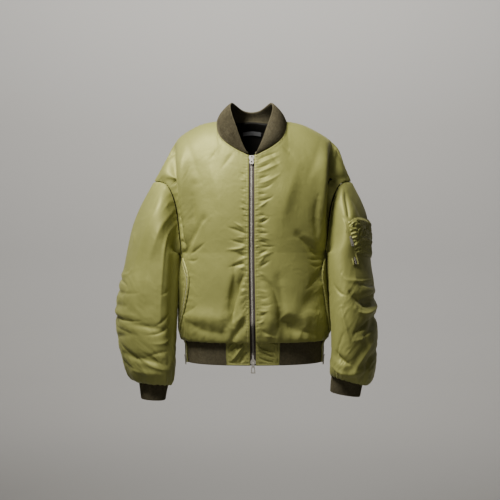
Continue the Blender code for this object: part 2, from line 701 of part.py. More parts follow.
def shell(name, outer, inner, turn, finish, closed=False, share=1):
    """A closed wall between two grids of points. inner may have one column for each share columns of outer.
    Each face of four starts at the same corner on both sides, so that walls lying on each other split alike."""
    made = bmesh.new()
    out = [[made.verts.new(p) for p in column] for column in outer]
    back = [[made.verts.new(p) for p in column] for column in inner]
    rows = len(out[0])
    blocks = len(back) if closed else len(back) - 1

    def add(first, *others):
        made.faces.new((first, *(others if turn > 0 else others[::-1])))

    for i in range(blocks * share):
        a, b = out[i], out[(i + 1) % len(out)]
        for j in range(rows - 1):
            add(a[j], b[j], b[j + 1], a[j + 1])
    for i in range(blocks):
        a, b = back[i], back[(i + 1) % len(back)]
        for j in range(rows - 1):
            add(a[j], a[j + 1], b[j + 1], b[j])
        edge = [out[(i * share + k) % len(out)] for k in range(share + 1)]
        add(a[0], b[0], *[column[0] for column in reversed(edge)])
        add(b[-1], a[-1], *[column[-1] for column in edge])
    if not closed:
        for j in range(rows - 1):
            add(back[0][j], out[0][j], out[0][j + 1], back[0][j + 1])
            add(out[-1][j], back[-1][j], back[-1][j + 1], out[-1][j + 1])
    mesh = bpy.data.meshes.new(name)
    made.to_mesh(mesh)
    made.free()
    return place(name, mesh, finish)


def behind(surface, depth, s_at, t_at, turn, low=0.0, closed=False):
    """The surface's points moved in through the cloth by depth."""
    return surface(s_at, t_at) - normals(surface, s_at, t_at, turn, low, closed) * depth


def wall(name, surface, s_at, t_at, thickness, turn, finish, low=0.0, closed=False):
    """A cloth wall: the surface's points, and inner points one thickness behind them."""
    outer = surface(s_at, t_at)
    inner = behind(surface, thickness, s_at, t_at, turn, low, closed)
    return shell(name, outer, inner, turn, finish, closed)


def rib_wall(name, surface, s_at, t_at, turn, low=0.0, closed=False):
    """A rib-knit wall: every second column of its outer points is raised, but for the row in the seam, over a
    plain inside with one column for each four."""
    normal = normals(surface, s_at, t_at, turn, low, closed)
    outer = surface(s_at, t_at)
    raised = (np.arange(len(s_at)) % 2)[:, None] * (np.arange(len(t_at)) > 0)[None, :]
    inner = (outer - normal * RIB_WALL)[::4]
    outer = outer + normal * (raised * RIB_RISE)[..., None]
    return shell(name, outer, inner, turn, rib_knit, closed, share=4)


def on_grid(grid, columns, rows):
    """Points on a grid's own facets, at fractional column and row numbers."""
    i = np.clip(np.floor(columns).astype(int), 0, grid.shape[0] - 2)
    j = np.clip(np.floor(rows).astype(int), 0, grid.shape[1] - 2)
    a = (np.asarray(columns) - i)[:, None, None]
    b = (np.asarray(rows) - j)[None, :, None]
    low = grid[i][:, j] * (1 - a) + grid[i + 1][:, j] * a
    high = grid[i][:, j + 1] * (1 - a) + grid[i + 1][:, j + 1] * a
    return low * (1 - b) + high * b


def facet_normals(points, turn):
    along = np.gradient(points, axis=0)
    up = np.gradient(points, axis=1)
    return unit(np.cross(along, up) * turn)


def prism(name, outline, low, high, axis="w"):
    """An outline of two coordinates, counter-clockwise, extruded along the third of (u, v, w)."""
    made = bmesh.new()
    order = {"w": (0, 1, 2), "u": (2, 0, 1), "v": (1, 2, 0)}[axis]
    ends = []
    for level in (low, high):
        ring = []
        for p in outline:
            whole = (*p, level)
            ring.append(made.verts.new([whole[k] for k in order]))
        ends.append(ring)
    made.faces.new(ends[0][::-1])
    made.faces.new(ends[1])
    count = len(outline)
    for i in range(count):
        k = (i + 1) % count
        made.faces.new((ends[0][i], ends[0][k], ends[1][k], ends[1][i]))
    mesh = bpy.data.meshes.new(name)
    made.to_mesh(mesh)
    made.free()
    piece = bpy.data.objects.new(name, mesh)
    jacket.objects.link(piece)
    return piece


def box(u0, u1, v0, v1, w0, w1):
    return prism("box", [(u0, v0), (u1, v0), (u1, v1), (u0, v1)], w0, w1)


def circle(radius, count=12, centre=(0, 0)):
    return [
        (
            centre[0] + radius * math.cos(2 * math.pi * (i + 0.5) / count),
            centre[1] + radius * math.sin(2 * math.pi * (i + 0.5) / count),
        )
        for i in range(count)
    ]


def combine(body, pieces, operation):
    for piece in pieces:
        step = body.modifiers.new("step", "BOOLEAN")
        step.operation = operation
        step.solver = "EXACT"
        step.object = piece
    if pieces:
        whole = body.evaluated_get(bpy.context.evaluated_depsgraph_get())
        mesh = bpy.data.meshes.new_from_object(whole)
        body.modifiers.clear()
        body.data = mesh
    for piece in pieces:
        bpy.data.objects.remove(piece)
    return body


def finish_piece(name, body, frame, finish):
    """Moves a hardware piece from its own (u, v, w) to its place on the jacket."""
    mesh = body.data
    origin, u, v, w = (Vector(part) for part in frame)
    mesh.transform(Matrix((u, v, w)).transposed().to_4x4())
    mesh.transform(Matrix.Translation(origin))
    bpy.data.objects.remove(body)
    mesh.name = name
    return place(name, mesh, finish, smooth=False)


# ---------------------------------------------------------------- zips

# A pull hangs on a bar through the arch on its slider. v runs up the zip and w out of the cloth, both from
# the bar.
PULL_BAR = 0.0007  # half the pull's thickness
ARCH = {"hole": 0.0015, "outer": 0.0025, "half": 0.0013}
SLIDER_FACE = 0.0019  # how far the slider's face lies behind the bar
BELL_PULL = (
    (-0.0034, 0.0007), (-0.0034, -0.0052), (-0.0050, -0.0115), (-0.0062, -0.0165), (-0.0055, -0.0212),
    (-0.0028, -0.0232), (0.0028, -0.0232), (0.0055, -0.0212), (0.0062, -0.0165), (0.0050, -0.0115),
    (0.0034, -0.0052), (0.0034, 0.0007),
)
WEDGE_PULL = (
    (-0.0034, 0.0007), (-0.0034, -0.0050), (-0.0046, -0.0100), (-0.0064, -0.0258), (-0.0056, -0.0272),
    (0.0056, -0.0272), (0.0064, -0.0258), (0.0046, -0.0100), (0.0034, -0.0050), (0.0034, 0.0007),
)
SMALL_PULL = (
    (-0.0031, 0.0007), (-0.0031, -0.0048), (-0.0036, -0.0100), (-0.0036, -0.0250), (-0.0026, -0.0262),
    (0.0026, -0.0262), (0.0036, -0.0250), (0.0036, -0.0100), (0.0031, -0.0048), (0.0031, 0.0007),
)


def pull(name, outline, hole, frame):
    body = prism("pull", outline, -PULL_BAR, PULL_BAR)
    window = box(-0.0018, 0.0018, -0.0039, -PULL_BAR, -0.004, 0.004)
    combine(body, [window, prism("hole", hole, -0.004, 0.004)], "DIFFERENCE")
    finish_piece(name, body, frame, silver)
    print(name, "hinge at", [round(c, 5) for c in frame[0]], "along", [round(-c, 5) for c in frame[1]])


def arch():
    """The arch on a slider's face, with the hole that the pull's bar turns in."""
    count = 12
    made = bmesh.new()
    rings = []
    for radius in (ARCH["outer"], ARCH["hole"]):
        for u in (-ARCH["half"], ARCH["half"]):
            rings.append([made.verts.new((u, v, w)) for v, w in circle(radius, count)])
    out_low, out_high, in_low, in_high = rings
    for i in range(count):
        k = (i + 1) % count
        made.faces.new((out_low[i], out_low[k], out_high[k], out_high[i]))
        made.faces.new((in_low[k], in_low[i], in_high[i], in_high[k]))
        made.faces.new((out_low[k], out_low[i], in_low[i], in_low[k]))
        made.faces.new((out_high[i], out_high[k], in_high[k], in_high[i]))
    mesh = bpy.data.meshes.new("arch")
    made.to_mesh(mesh)
    made.free()
    piece = bpy.data.objects.new("arch", mesh)
    jacket.objects.link(piece)
    return piece


def main_slider(name, frame, teeth_face, up):
    """A slider with a plate before and behind the teeth, joined by a bridge past the end of the teeth.
    teeth_face is how far behind the bar the teeth begin. up is 1 for a bridge at the top end, -1 at the
    bottom one."""
    face, half = -SLIDER_FACE, 0.0073
    front_back = -teeth_face + GAP
    rear = -teeth_face - ZIP_TEETH["thick"] - GAP
    ends = sorted((0.0034 * up, -0.0102 * up))
    outline = [
        (-0.0045, ends[0]),
        (0.0045, ends[0]),
        (half, ends[0] + 0.005),
        (half, ends[1] - 0.003),
        (half - 0.002, ends[1]),
        (0.002 - half, ends[1]),
        (-half, ends[1] - 0.003),
        (-half, ends[0] + 0.005),
    ]
    if up < 0:
        outline = [(-u, ends[0] + ends[1] - v) for u, v in outline]
    body = prism("front_plate", outline, front_back, face)
    rear_plate = prism("rear_plate", outline, rear - 0.0013, rear)
    low, high = sorted((0.0016 * up, 0.0032 * up))
    bridge = box(-0.0020, 0.0020, low, high, rear - 0.0005, face - 0.0003)
    combine(body, [rear_plate, bridge, arch()], "UNION")
    return finish_piece(name, body, frame, silver)


def small_slider(name, frame, depth):
    """A slider that stands over the teeth on two legs. depth is how far below the bar its legs end."""
    half, leg = 0.0043, SIDE_ZIP["teeth_half"] + GAP
    roof = -SLIDER_FACE - 0.0010
    outline = [
        (-half, -depth), (-leg, -depth), (-leg, roof), (leg, roof), (leg, -depth), (half, -depth),
        (half, -SLIDER_FACE), (-half, -SLIDER_FACE),
    ]
    body = prism("saddle", [(w, u) for u, w in outline][::-1], -0.0085, 0.0030, axis="v")
    combine(body, [arch()], "UNION")
    return finish_piece(name, body, frame, silver)


def zip_line(t_at):
    """The main zip's middle line on the body's base surface, and the direction up along it."""

    def middle(t):
        left = body_base(LEFT, "front", np.array([0.0]), t)[0]
        right = body_base(RIGHT, "front", np.array([0.0]), t)[0]
        return (left + right) / 2

    points = middle(t_at)
    up = unit(middle(np.minimum(t_at + 0.002, 1)) - middle(np.maximum(t_at - 0.002, 0)))
    return points, up


def frame_on(origin, up, outward):
    """Origin, u, v and w of a piece of hardware, with v up the zip and w out of the cloth."""
    v = up / np.linalg.norm(up)
    w = outward - v * np.dot(outward, v)
    w /= np.linalg.norm(w)
    return origin, np.cross(v, w), v, w


# ---------------------------------------------------------------- the jacket

for old in list(bpy.data.objects):
    bpy.data.objects.remove(old)
jacket = bpy.data.collections.new("bomber_jacket")
bpy.context.scene.collection.children.link(jacket)

nylon = material("olive_nylon", (0.27, 0.27, 0.10), 0.42)
rib_knit = material("olive_rib", (0.10, 0.085, 0.045), 0.95)
tape_cloth = material("zip_tape", (0.035, 0.026, 0.020), 0.85)
silver = material("zip_metal", (0.72, 0.70, 0.66), 0.28, 1.0)
lining_cloth = material("lining", (0.012, 0.010, 0.008), 0.7)
label_cloth = material("label", (0.16, 0.16, 0.17), 0.8)

SIDES = ((LEFT, "left"), (RIGHT, "right"))
neck_columns = np.linspace(0, NECK_SHARE, 6)[:-1]
side_columns = np.linspace(NECK_SHARE, 0.9994, 9)
front_s = np.concatenate([neck_columns, side_columns])
back_s = np.concatenate([-front_s[:0:-1], front_s])
panel_t = 0.00025 + (1 - 0.0009) * np.linspace(0, 1, 26) ** 1.25
grids = {}
for side, name in SIDES:

    def front(s_at, t_at):
        return front_outer(side, s_at, t_at)

    wall(f"front_{name}", front, front_s, panel_t, SHELL_WALL, side, nylon)
    grids[f"front_{name}"] = front(front_s, panel_t)

wall("back", back_outer, back_s, panel_t, SHELL_WALL, -1, nylon, low=-1)
grids["back"] = back_outer(back_s, panel_t)

collar_shares = np.linspace(0.004, 0.996, 4 * 32 + 1)
collar_v = np.array([0.010, 0.09, 0.5, 1.0])
rib_wall("collar", collar_base, collar_shares, collar_v, -1)

# Sleeves and cuffs.
sleeve_a = np.arange(20) / 20
sleeve_v = 0.0010 + (1 - 0.0013) * np.linspace(0, 1, 23)
for side, name in SIDES:

    def sleeve(s_at, t_at):
        return sleeve_outer(side, s_at, t_at)

    def cuff(s_at, t_at):
        rings = [sleeve_ring(CUFF[side], side, 2 * math.pi * s_at, t) for t in t_at]
        return np.stack(rings, axis=1)

    wall(f"sleeve_{name}", sleeve, sleeve_a, sleeve_v, SHELL_WALL, side, nylon, closed=True)
    grids[f"sleeve_{name}"] = sleeve(sleeve_a, sleeve_v)
    rib_wall(f"cuff_{name}", cuff, np.arange(72) / 72, np.array([0.0, 0.12, 1.0]), side, closed=True)

# The hem: a nylon tab beside the zip on each front, then rib knit round to the side zips, and the back's rib.
hem_v = np.array([0.002, 0.10, 1.0])
for side, name in SIDES:

    def hem(s_at, t_at):
        return np.stack(
            [ring_row(section_sizes(HEM, t), side, "front", s_at) for t in t_at], axis=1
        )

    length = np.linalg.norm(np.diff(hem(np.linspace(0, 1, 60), [0.5])[:, 0], axis=0), axis=1).sum()
    tab = HEM_TAB["width"] / length
    trim = GAP / length
    tab_shares = np.linspace(0, tab - trim, 6)
    wall(f"hem_tab_{name}", hem, tab_shares, np.array([0.002, 0.5, 1.0]), HEM_TAB["wall"], -side, nylon)
    shares = np.linspace(tab + trim, 1 - trim, 4 * 13 + 1)
    rib_wall(f"hem_rib_front_{name}", hem, shares, hem_v, -side)


def hem_back(s_at, t_at):
    halves = []
    for side, near in ((RIGHT, s_at < 0), (LEFT, s_at >= 0)):
        rows = [ring_row(section_sizes(HEM, t), side, "back", np.abs(s_at[near])) for t in t_at]
        halves.append(np.stack(rows, axis=1))
    return np.concatenate(halves)


rib_wall("hem_rib_back", hem_back, np.linspace(-1, 1, 4 * 40 + 1) * 0.9995, hem_v, 1, low=-1)

# The lining that shows inside the back of the neck, and the blank label on it.
columns = np.arange(7, 20)
rows = np.arange(21, 26)
depth = SHELL_WALL + GAP
lining_outer = behind(back_outer, depth, back_s, panel_t, -1, low=-1)[columns][:, rows]
lining_inner = behind(back_outer, depth + LINING_WALL, back_s, panel_t, -1, low=-1)[columns][:, rows]
shell("neck_lining", lining_outer, lining_inner, -1, lining_cloth)
label = on_grid(lining_inner, np.array([4.75, 5.0, 6.0, 7.0, 7.25]), np.array([2.9, 3.0, 3.45]))
out = facet_normals(label, -1)
shell("neck_label", label - out * GAP, label - out * (GAP + 0.0008), -1, label_cloth)

# The main zip: tapes behind the front edges, teeth between them, a slider with a pull at each end.
hem_rows = np.array([1.0, 0.5, 0.0])
t_rows = np.linspace(0.10, 0.998, 17)
points, up = zip_line(t_rows)
low_points = []
for v in hem_rows:
    ends = [ring_row(section_sizes(HEM, v), side, "front", np.array([0.0]))[0] for side in (LEFT, RIGHT)]
    low_points.append((ends[0] + ends[1]) / 2)
zip_points = np.vstack([low_points, points])
zip_up = unit(np.gradient(zip_points, axis=0))
zip_out = unit(np.cross((1.0, 0.0, 0.0), zip_up))


def zip_strip(offsets, depth):
    sag = 0.7 * offsets**2
    return (
        zip_points[None]
        + offsets[:, None, None] * np.array([1.0, 0.0, 0.0])
        - zip_out[None] * (depth + sag)[:, None, None]
    )


for side, name in SIDES:
    offsets = np.sort(side * np.array([ZIP_TAPE["inner"], 0.0095, ZIP_TAPE["outer"]]))
    flat = np.full(3, ZIP_DEPTH)
    shell(f"zip_tape_{name}", zip_strip(offsets, flat), zip_strip(offsets, flat + TAPE_WALL), 1, tape_cloth)
offsets = np.array([-1.0, -0.6, 0.6, 1.0]) * ZIP_TEETH["half"]
middle = ZIP_DEPTH + TAPE_WALL / 2
rise = np.array([0.4, 1.0, 1.0, 0.4]) * ZIP_TEETH["thick"] / 2
for end, short in ((0, 0.0054), (-1, -0.0034)):
    zip_points[end] += zip_up[end] * short
shell("zip_teeth", zip_strip(offsets, middle - rise), zip_strip(offsets, middle + rise), 1, silver)

bar_height = SLIDER_FACE + 0.0014 + GAP - (middle - ZIP_TEETH["thick"] / 2)
teeth_face = bar_height + middle - ZIP_TEETH["thick"] / 2
hole = circle(0.0024, 12, (0, -0.0165))
slot = [(-0.0032, -0.0240), (0.0032, -0.0240), (0.0022, -0.0120), (-0.0022, -0.0120)]
for name, outline, opening, number, drop, up_end in (
    ("top", BELL_PULL, hole, len(zip_points) - 1, 0.0011, 1),
    ("bottom", WEDGE_PULL, slot, 0, -0.0011, -1),
):
    origin = zip_points[number] - zip_up[number] * drop + zip_out[number] * bar_height
    frame = frame_on(origin, zip_up[number], zip_out[number])
    main_slider(f"zip_slider_{name}", frame, teeth_face, up_end)
    pull(f"zip_pull_{name}", outline, opening, frame)


# The side zips, along the side seams from the hem's edge up, and the pocket zip on the left sleeve. Each has
# its tapes and teeth on the face of the cloth.
ZIP_PROFILE = table(
    "across rise",
    ("tape_edge", -1.0, 0.0010),
    ("tape", -0.38, 0.0010),
    ("teeth_edge", -0.30, 0.0010 + SIDE_ZIP["teeth_rise"]),
    ("middle", 0.0, 0.0010 + SIDE_ZIP["teeth_rise"]),
    ("teeth_far_edge", 0.30, 0.0010 + SIDE_ZIP["teeth_rise"]),
    ("tape_far", 0.38, 0.0010),
    ("tape_far_edge", 1.0, 0.0010),
)
SEATING = 0.0006  # from the cloth to the underside of what lies on it
teeth_top = SEATING + 0.0010 + SIDE_ZIP["teeth_rise"]
small_bar = teeth_top + GAP + 0.0010 + SLIDER_FACE


def surface_zip(name, base, turn):
    out = facet_normals(base, turn)
    rise = ZIP_PROFILE["rise"][:, None, None]
    return shell(name, base + out * (SEATING + rise), base + out * SEATING, turn, tape_cloth)


for side, name in SIDES:
    front_grid, back_grid = grids[f"front_{name}"], grids["back"]
    back_edge = back_grid[-2:][::-1] if side == LEFT else back_grid[:2]
    seam = front_grid[-1]
    rows = np.flatnonzero((seam[:, 2] < SIDE_ZIP["top"]) & (np.arange(len(seam)) > 1))
    columns = []
    for across in ZIP_PROFILE["across"] * SIDE_ZIP["tape_half"]:
        edge = front_grid[-2:][::-1] if across < 0 else back_edge
        step = np.linalg.norm(edge[1] - edge[0], axis=1)
        share = (abs(across) / step)[:, None]
        whole = edge[0] * (1 - share) + edge[1] * share
        rib_points = []
        for v in (1.0, 0.62, 0.32):
            ring = half_ring(section_sizes(HEM, v), side)
            lengths = np.concatenate([[0], np.cumsum(np.linalg.norm(np.diff(ring, axis=0), axis=1))])
            seam_at = seam_place(section_sizes(HEM, v), side)
            at = np.interp(seam_at, ring[:, 1], lengths) + across
            point = np.array([np.interp(at, lengths, ring[:, k]) for k in range(3)])
            rib_points.append(point + np.array([side * (RIB_RISE + 0.0002), 0, 0]))
        columns.append(np.vstack([rib_points, whole[rows]]))
    base = np.stack(columns)
    surface_zip(f"side_zip_{name}", base, side)
    out = facet_normals(base, side)[3]
    line = base[3]
    low = line[0] + (line[1] - line[0]) * 0.75
    frame = frame_on(low + out[0] * small_bar, line[1] - line[0], out[0])
    small_slider(f"side_zip_slider_{name}", frame, small_bar - SEATING - 0.0010 - GAP)
    pull(f"side_zip_pull_{name}", SMALL_PULL, circle(0.0017, 10, (0, -0.0225)), frame)

grid = np.roll(grids["sleeve_left"], 1, axis=0)[:8]
height = grid[:6, :, 2].mean(0)
rows = np.flatnonzero((height < -0.262) & (height > -0.430))
out = facet_normals(grid, 1)
patch = grid[:6][:, rows]
patch_out = out[:6][:, rows]
shell(
    "sleeve_pocket", patch + patch_out * (SEATING + POCKET_WALL), patch + patch_out * SEATING, 1, nylon
)
step = np.linalg.norm(grid[6, rows[2]] - grid[5, rows[2]])
columns = 5 + (ZIP_PROFILE["across"] * SIDE_ZIP["tape_half"] + SIDE_ZIP["tape_half"] + 0.0008) / step
base = on_grid(grid, columns, rows.astype(float))
surface_zip("pocket_zip", base, 1)
out = facet_normals(base, 1)[3]
line = base[3]
top = line[0] + (line[1] - line[0]) * 0.35
frame = frame_on(top + out[0] * small_bar, line[0] - line[1], out[0])
small_slider("pocket_zip_slider", frame, small_bar - SEATING - 0.0010 - GAP)
pull("pocket_zip_pull", SMALL_PULL, circle(0.0017, 10, (0, -0.0225)), frame)
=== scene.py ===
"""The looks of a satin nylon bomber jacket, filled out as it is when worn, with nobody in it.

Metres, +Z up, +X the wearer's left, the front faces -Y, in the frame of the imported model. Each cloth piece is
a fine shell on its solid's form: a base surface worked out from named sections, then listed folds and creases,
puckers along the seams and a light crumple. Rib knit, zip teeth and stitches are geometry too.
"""

import math

import bpy
import numpy as np
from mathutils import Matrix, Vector


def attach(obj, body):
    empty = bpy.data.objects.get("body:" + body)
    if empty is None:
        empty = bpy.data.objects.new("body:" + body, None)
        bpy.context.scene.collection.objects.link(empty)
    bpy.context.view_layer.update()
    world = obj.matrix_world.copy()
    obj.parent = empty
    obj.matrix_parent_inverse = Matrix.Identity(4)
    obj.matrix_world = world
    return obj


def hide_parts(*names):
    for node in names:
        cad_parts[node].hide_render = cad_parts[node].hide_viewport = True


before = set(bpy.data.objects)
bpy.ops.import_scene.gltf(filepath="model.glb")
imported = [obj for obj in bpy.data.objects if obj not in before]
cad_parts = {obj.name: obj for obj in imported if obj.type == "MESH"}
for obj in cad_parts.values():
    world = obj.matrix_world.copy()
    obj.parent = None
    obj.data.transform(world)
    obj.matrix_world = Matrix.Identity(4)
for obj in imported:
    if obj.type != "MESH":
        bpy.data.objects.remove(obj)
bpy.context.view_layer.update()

# ---------------------------------------------------------------- driving dimensions

SHELL_WALL = 0.0024  # nylon, light wadding and lining, pressed together
RIB_RISE = 0.0009
TAPE_WALL = 0.0010
GAP = 0.0003  # between two pieces at a seam or face to face
SQUARENESS = 2.35  # of the body's horizontal sections: 2 is an ellipse

ZIP_OPENING = 0.0078  # from the zip's middle to the edge of each front
ZIP_TEETH_THICK = 0.0025
ZIP_TAPE_OUTER = 0.0190  # from the zip's middle
ZIP_DEPTH = SHELL_WALL + 0.0005  # from the fronts' outer face back to the tape's face

UNDERARM_SHARE = 0.42  # of a body panel's length, hem seam to shoulder, that lies below the armhole
NECK_SHARE = 0.40  # of a body panel's width, centre to side, that ends at the neck seam
HEM_TAB_WIDTH = 0.066
HEM_EDGE = -0.6605
SIDE_ZIP = {"top": -0.375, "tape_half": 0.0060}
SLEEVE_TWIST = 0.20  # how far a sleeve's inner edge lies in front of its middle, as a share of its depth
LEFT, RIGHT = 1, -1  # the wearer's sides, as the sign of X


def table(columns, *rows):
    """Column name to array. Each row starts with the name of its section."""
    return {name: np.array([row[i + 1] for row in rows], float) for i, name in enumerate(columns.split())}


# Body sections from the hem seam up to the armhole. The body hangs a little to the wearer's left, so the
# two half widths differ. seam_left and seam_right are where the side seams lie: they run well forward of
# the middle.
TORSO = table(
    "height half_left half_right front back seam_left seam_right zip_x",
    ("hem_seam", -0.5905, 0.2046, 0.1886, 0.1406, 0.1186, -0.050, -0.050, 0.0035),
    ("lip", -0.5985, 0.2140, 0.1980, 0.1500, 0.1280, -0.050, -0.050, 0.0035),
    ("blouse", -0.578, 0.2230, 0.2060, 0.1585, 0.1360, -0.052, -0.054, 0.0030),
    ("waist", -0.540, 0.2245, 0.2090, 0.1590, 0.1370, -0.062, -0.072, 0.0025),
    ("midriff", -0.470, 0.2205, 0.2080, 0.1560, 0.1340, -0.074, -0.092, 0.0015),
    ("ribs", -0.410, 0.2160, 0.2040, 0.1530, 0.1340, -0.076, -0.086, 0.0005),
    ("underarm", -0.355, 0.2110, 0.2000, 0.1490, 0.1350, -0.040, -0.040, 0.0000),
)

# The hem rib's sections, from its seam to its edge.
HEM = table(
    "height half_left half_right front back seam_left seam_right zip_x",
    ("seam", -0.5895, 0.2034, 0.1874, 0.1394, 0.1174, -0.050, -0.050, 0.0035),
    ("middle", -0.628, 0.2045, 0.1875, 0.1400, 0.1170, -0.052, -0.052, 0.0038),
    ("edge", HEM_EDGE, 0.2030, 0.1855, 0.1380, 0.1150, -0.054, -0.054, 0.0040),
)

# The shoulder's ridge, from the neck to the top of the sleeve. The right shoulder rounds over sooner.
SHOULDER = table(
    "x_left x_right y height",
    ("neck", 0.0985, 0.0985, 0.010, 0.018),
    ("trapezius", 0.1410, 0.1410, 0.009, 0.0095),
    ("middle", 0.1740, 0.1720, 0.007, -0.005),
    ("outer", 0.2210, 0.2095, 0.004, -0.033),
    ("corner", 0.2500, 0.2300, 0.002, -0.062),
    ("over", 0.2610, 0.2450, 0.000, -0.095),
    ("sleeve_top", 0.2835, 0.2760, 0.000, -0.1515),
)

# The front neckline as seen from the front, and the back neckline as seen from above.
NECK_FRONT = table(
    "x height",
    ("centre", ZIP_OPENING, -0.0880),
    ("low", 0.0385, -0.0735),
    ("turn", 0.0600, -0.0600),
    ("rise", 0.0790, -0.0440),
    ("side", 0.0925, -0.0240),
    ("steep", 0.0980, -0.0020),
    ("shoulder", 0.0985, 0.0180),
)
NECK_BACK = table(
    "x y",
    ("centre", 0.0000, 0.088),
    ("flat", 0.0350, 0.085),
    ("turn", 0.0680, 0.070),
    ("side", 0.0890, 0.044),
    ("shoulder", 0.0985, 0.010),
)

# The armhole seam. reach goes from the underarm, 0, to the sleeve top, 1, across the body.
ARMHOLE_FRONT = table(
    "reach y height",
    ("front_top_outer", 0.72, -0.038, -0.1555),
    ("front_top", 0.46, -0.062, -0.1710),
    ("front_high", 0.27, -0.064, -0.2030),
    ("front_middle", 0.14, -0.056, -0.2550),
    ("front_low", 0.05, -0.052, -0.3150),
)
ARMHOLE_BACK = table(
    "reach y height",
    ("back_low", 0.03, 0.020, -0.3500),
    ("back_under", 0.08, 0.056, -0.3150),
    ("back_middle", 0.17, 0.076, -0.2550),
    ("back_high", 0.31, 0.082, -0.2020),
    ("back_top", 0.50, 0.072, -0.1680),
    ("back_top_outer", 0.76, 0.042, -0.1540),
)

# Sleeve sections below the armhole: how far the inner and outer edges lie from the middle of the body, the
# front and back edges, the height at the section's middle, and drop, how much lower the outer edge lies than
# the inner.
SLEEVE = {
    LEFT: table(
        "height inner outer front back drop",
        ("biceps", -0.375, 0.2125, 0.3440, -0.116, 0.088, 0.030),
        ("above_elbow", -0.440, 0.2150, 0.3520, -0.130, 0.070, 0.018),
        ("elbow", -0.515, 0.2165, 0.3540, -0.143, 0.050, 0.010),
        ("forearm", -0.585, 0.2185, 0.3555, -0.150, 0.035, 0.010),
        ("lower", -0.645, 0.2160, 0.3510, -0.150, 0.022, 0.016),
        ("blouse", -0.686, 0.2140, 0.3420, -0.144, 0.010, 0.024),
        ("turn", -0.7060, 0.2180, 0.3270, -0.130, -0.004, 0.032),
        ("cuff_seam", -0.7030, 0.2215, 0.3100, -0.115, -0.025, 0.031),
    ),
    RIGHT: table(
        "height inner outer front back drop",
        ("biceps", -0.375, 0.2020, 0.3640, -0.112, 0.086, 0.030),
        ("above_elbow", -0.440, 0.2035, 0.3785, -0.122, 0.070, 0.018),
        ("elbow", -0.515, 0.2045, 0.3860, -0.132, 0.052, 0.008),
        ("forearm", -0.585, 0.2060, 0.3800, -0.138, 0.037, 0.004),
        ("lower", -0.645, 0.2085, 0.3665, -0.138, 0.024, 0.000),
        ("blouse", -0.690, 0.2120, 0.3510, -0.132, 0.010, -0.006),
        ("turn", -0.7130, 0.2205, 0.3330, -0.118, -0.006, -0.006),
        ("cuff_seam", -0.7100, 0.2275, 0.3150, -0.104, -0.026, -0.004),
    ),
}
CUFF = {
    LEFT: table(
        "height inner outer front back drop",
        ("seam", -0.7020, 0.2224, 0.3091, -0.1141, -0.0259, 0.031),
        ("middle", -0.7280, 0.2190, 0.3040, -0.113, -0.033, 0.023),
        ("edge", -0.7460, 0.2175, 0.3005, -0.112, -0.038, 0.0175),
    ),
    RIGHT: table(
        "height inner outer front back drop",
        ("seam", -0.7090, 0.2284, 0.3141, -0.1031, -0.0269, -0.004),
        ("middle", -0.7370, 0.2350, 0.3095, -0.104, -0.034, -0.002),
        ("edge", -0.7600, 0.2385, 0.3060, -0.104, -0.040, 0.000),
    ),
}

# The collar's top edge, from the zip round to the centre back. The band tapers to nothing at the zip.
COLLAR_EDGE = table(
    "x y height",
    ("zip_end", 0.0130, -0.1170, -0.0815),
    ("lapel_low", 0.0287, -0.1105, -0.0465),
    ("lapel", 0.0400, -0.1000, -0.0143),
    ("lapel_high", 0.0514, -0.0830, 0.0188),
    ("throat", 0.0590, -0.0560, 0.0530),
    ("peak", 0.0560, -0.0250, 0.0675),
    ("side", 0.0500, 0.0060, 0.0700),
    ("back_side", 0.0375, 0.0470, 0.0655),
    ("back", 0.0220, 0.0690, 0.0590),
    ("centre_back", 0.0000, 0.0770, 0.0560),
)

# ---------------------------------------------------------------- curves


def cubic(knots, rows, at):
    """A natural cubic spline through rows (one at each knot), read at the positions at."""
    knots = np.asarray(knots, float)
    rows = np.asarray(rows, float).reshape(len(knots), -1)
    at = np.asarray(at, float)
    steps = np.diff(knots)
    system = np.eye(len(knots))
    right_side = np.zeros_like(rows)
    for i in range(1, len(knots) - 1):
        system[i, i - 1 : i + 2] = (
            steps[i - 1], 2 * (steps[i - 1] + steps[i]), steps[i],
        )
        rise = (rows[i + 1] - rows[i]) / steps[i]
        right_side[i] = 6 * (rise - (rows[i] - rows[i - 1]) / steps[i - 1])
    bend = np.linalg.solve(system, right_side)
    i = np.clip(np.searchsorted(knots, at, side="right") - 1, 0, len(knots) - 2)
    step = steps[i][..., None]
    low = (knots[i + 1] - at)[..., None] / step
    high = 1 - low
    curved = (low**3 - low) * bend[i] + (high**3 - high) * bend[i + 1]
    return low * rows[i] + high * rows[i + 1] + curved * step**2 / 6


def chord_knots(rows):
    """Where each row lies along the polyline through them, from 0 to 1."""
    lengths = np.linalg.norm(np.diff(rows, axis=0), axis=1)
    along = np.concatenate([[0], np.cumsum(lengths)])
    return along / along[-1]


def ease(x):
    x = np.clip(x, 0, 1)
    return x * x * (3 - 2 * x)


def bell(x, width):
    """1 at x = 0, falling away over the width."""
    return np.exp(-((x / width) ** 2))


def at_share(points, share):
    """Points at these shares of a dense polyline's length."""
    knots = chord_knots(points)
    return np.stack(
        [np.interp(share, knots, points[:, k]) for k in range(points.shape[1])], axis=-1
    )


# ---------------------------------------------------------------- the body's base surface


def section_sizes(sections, share):
    """The sizes of a body section at a share of the way through the table."""
    path = np.stack([sections["height"], sections["half_left"]], axis=1)
    names = list(sections)
    values = cubic(
        chord_knots(path), np.stack([sections[n] for n in names], axis=1), share
    )
    return dict(zip(names, values))


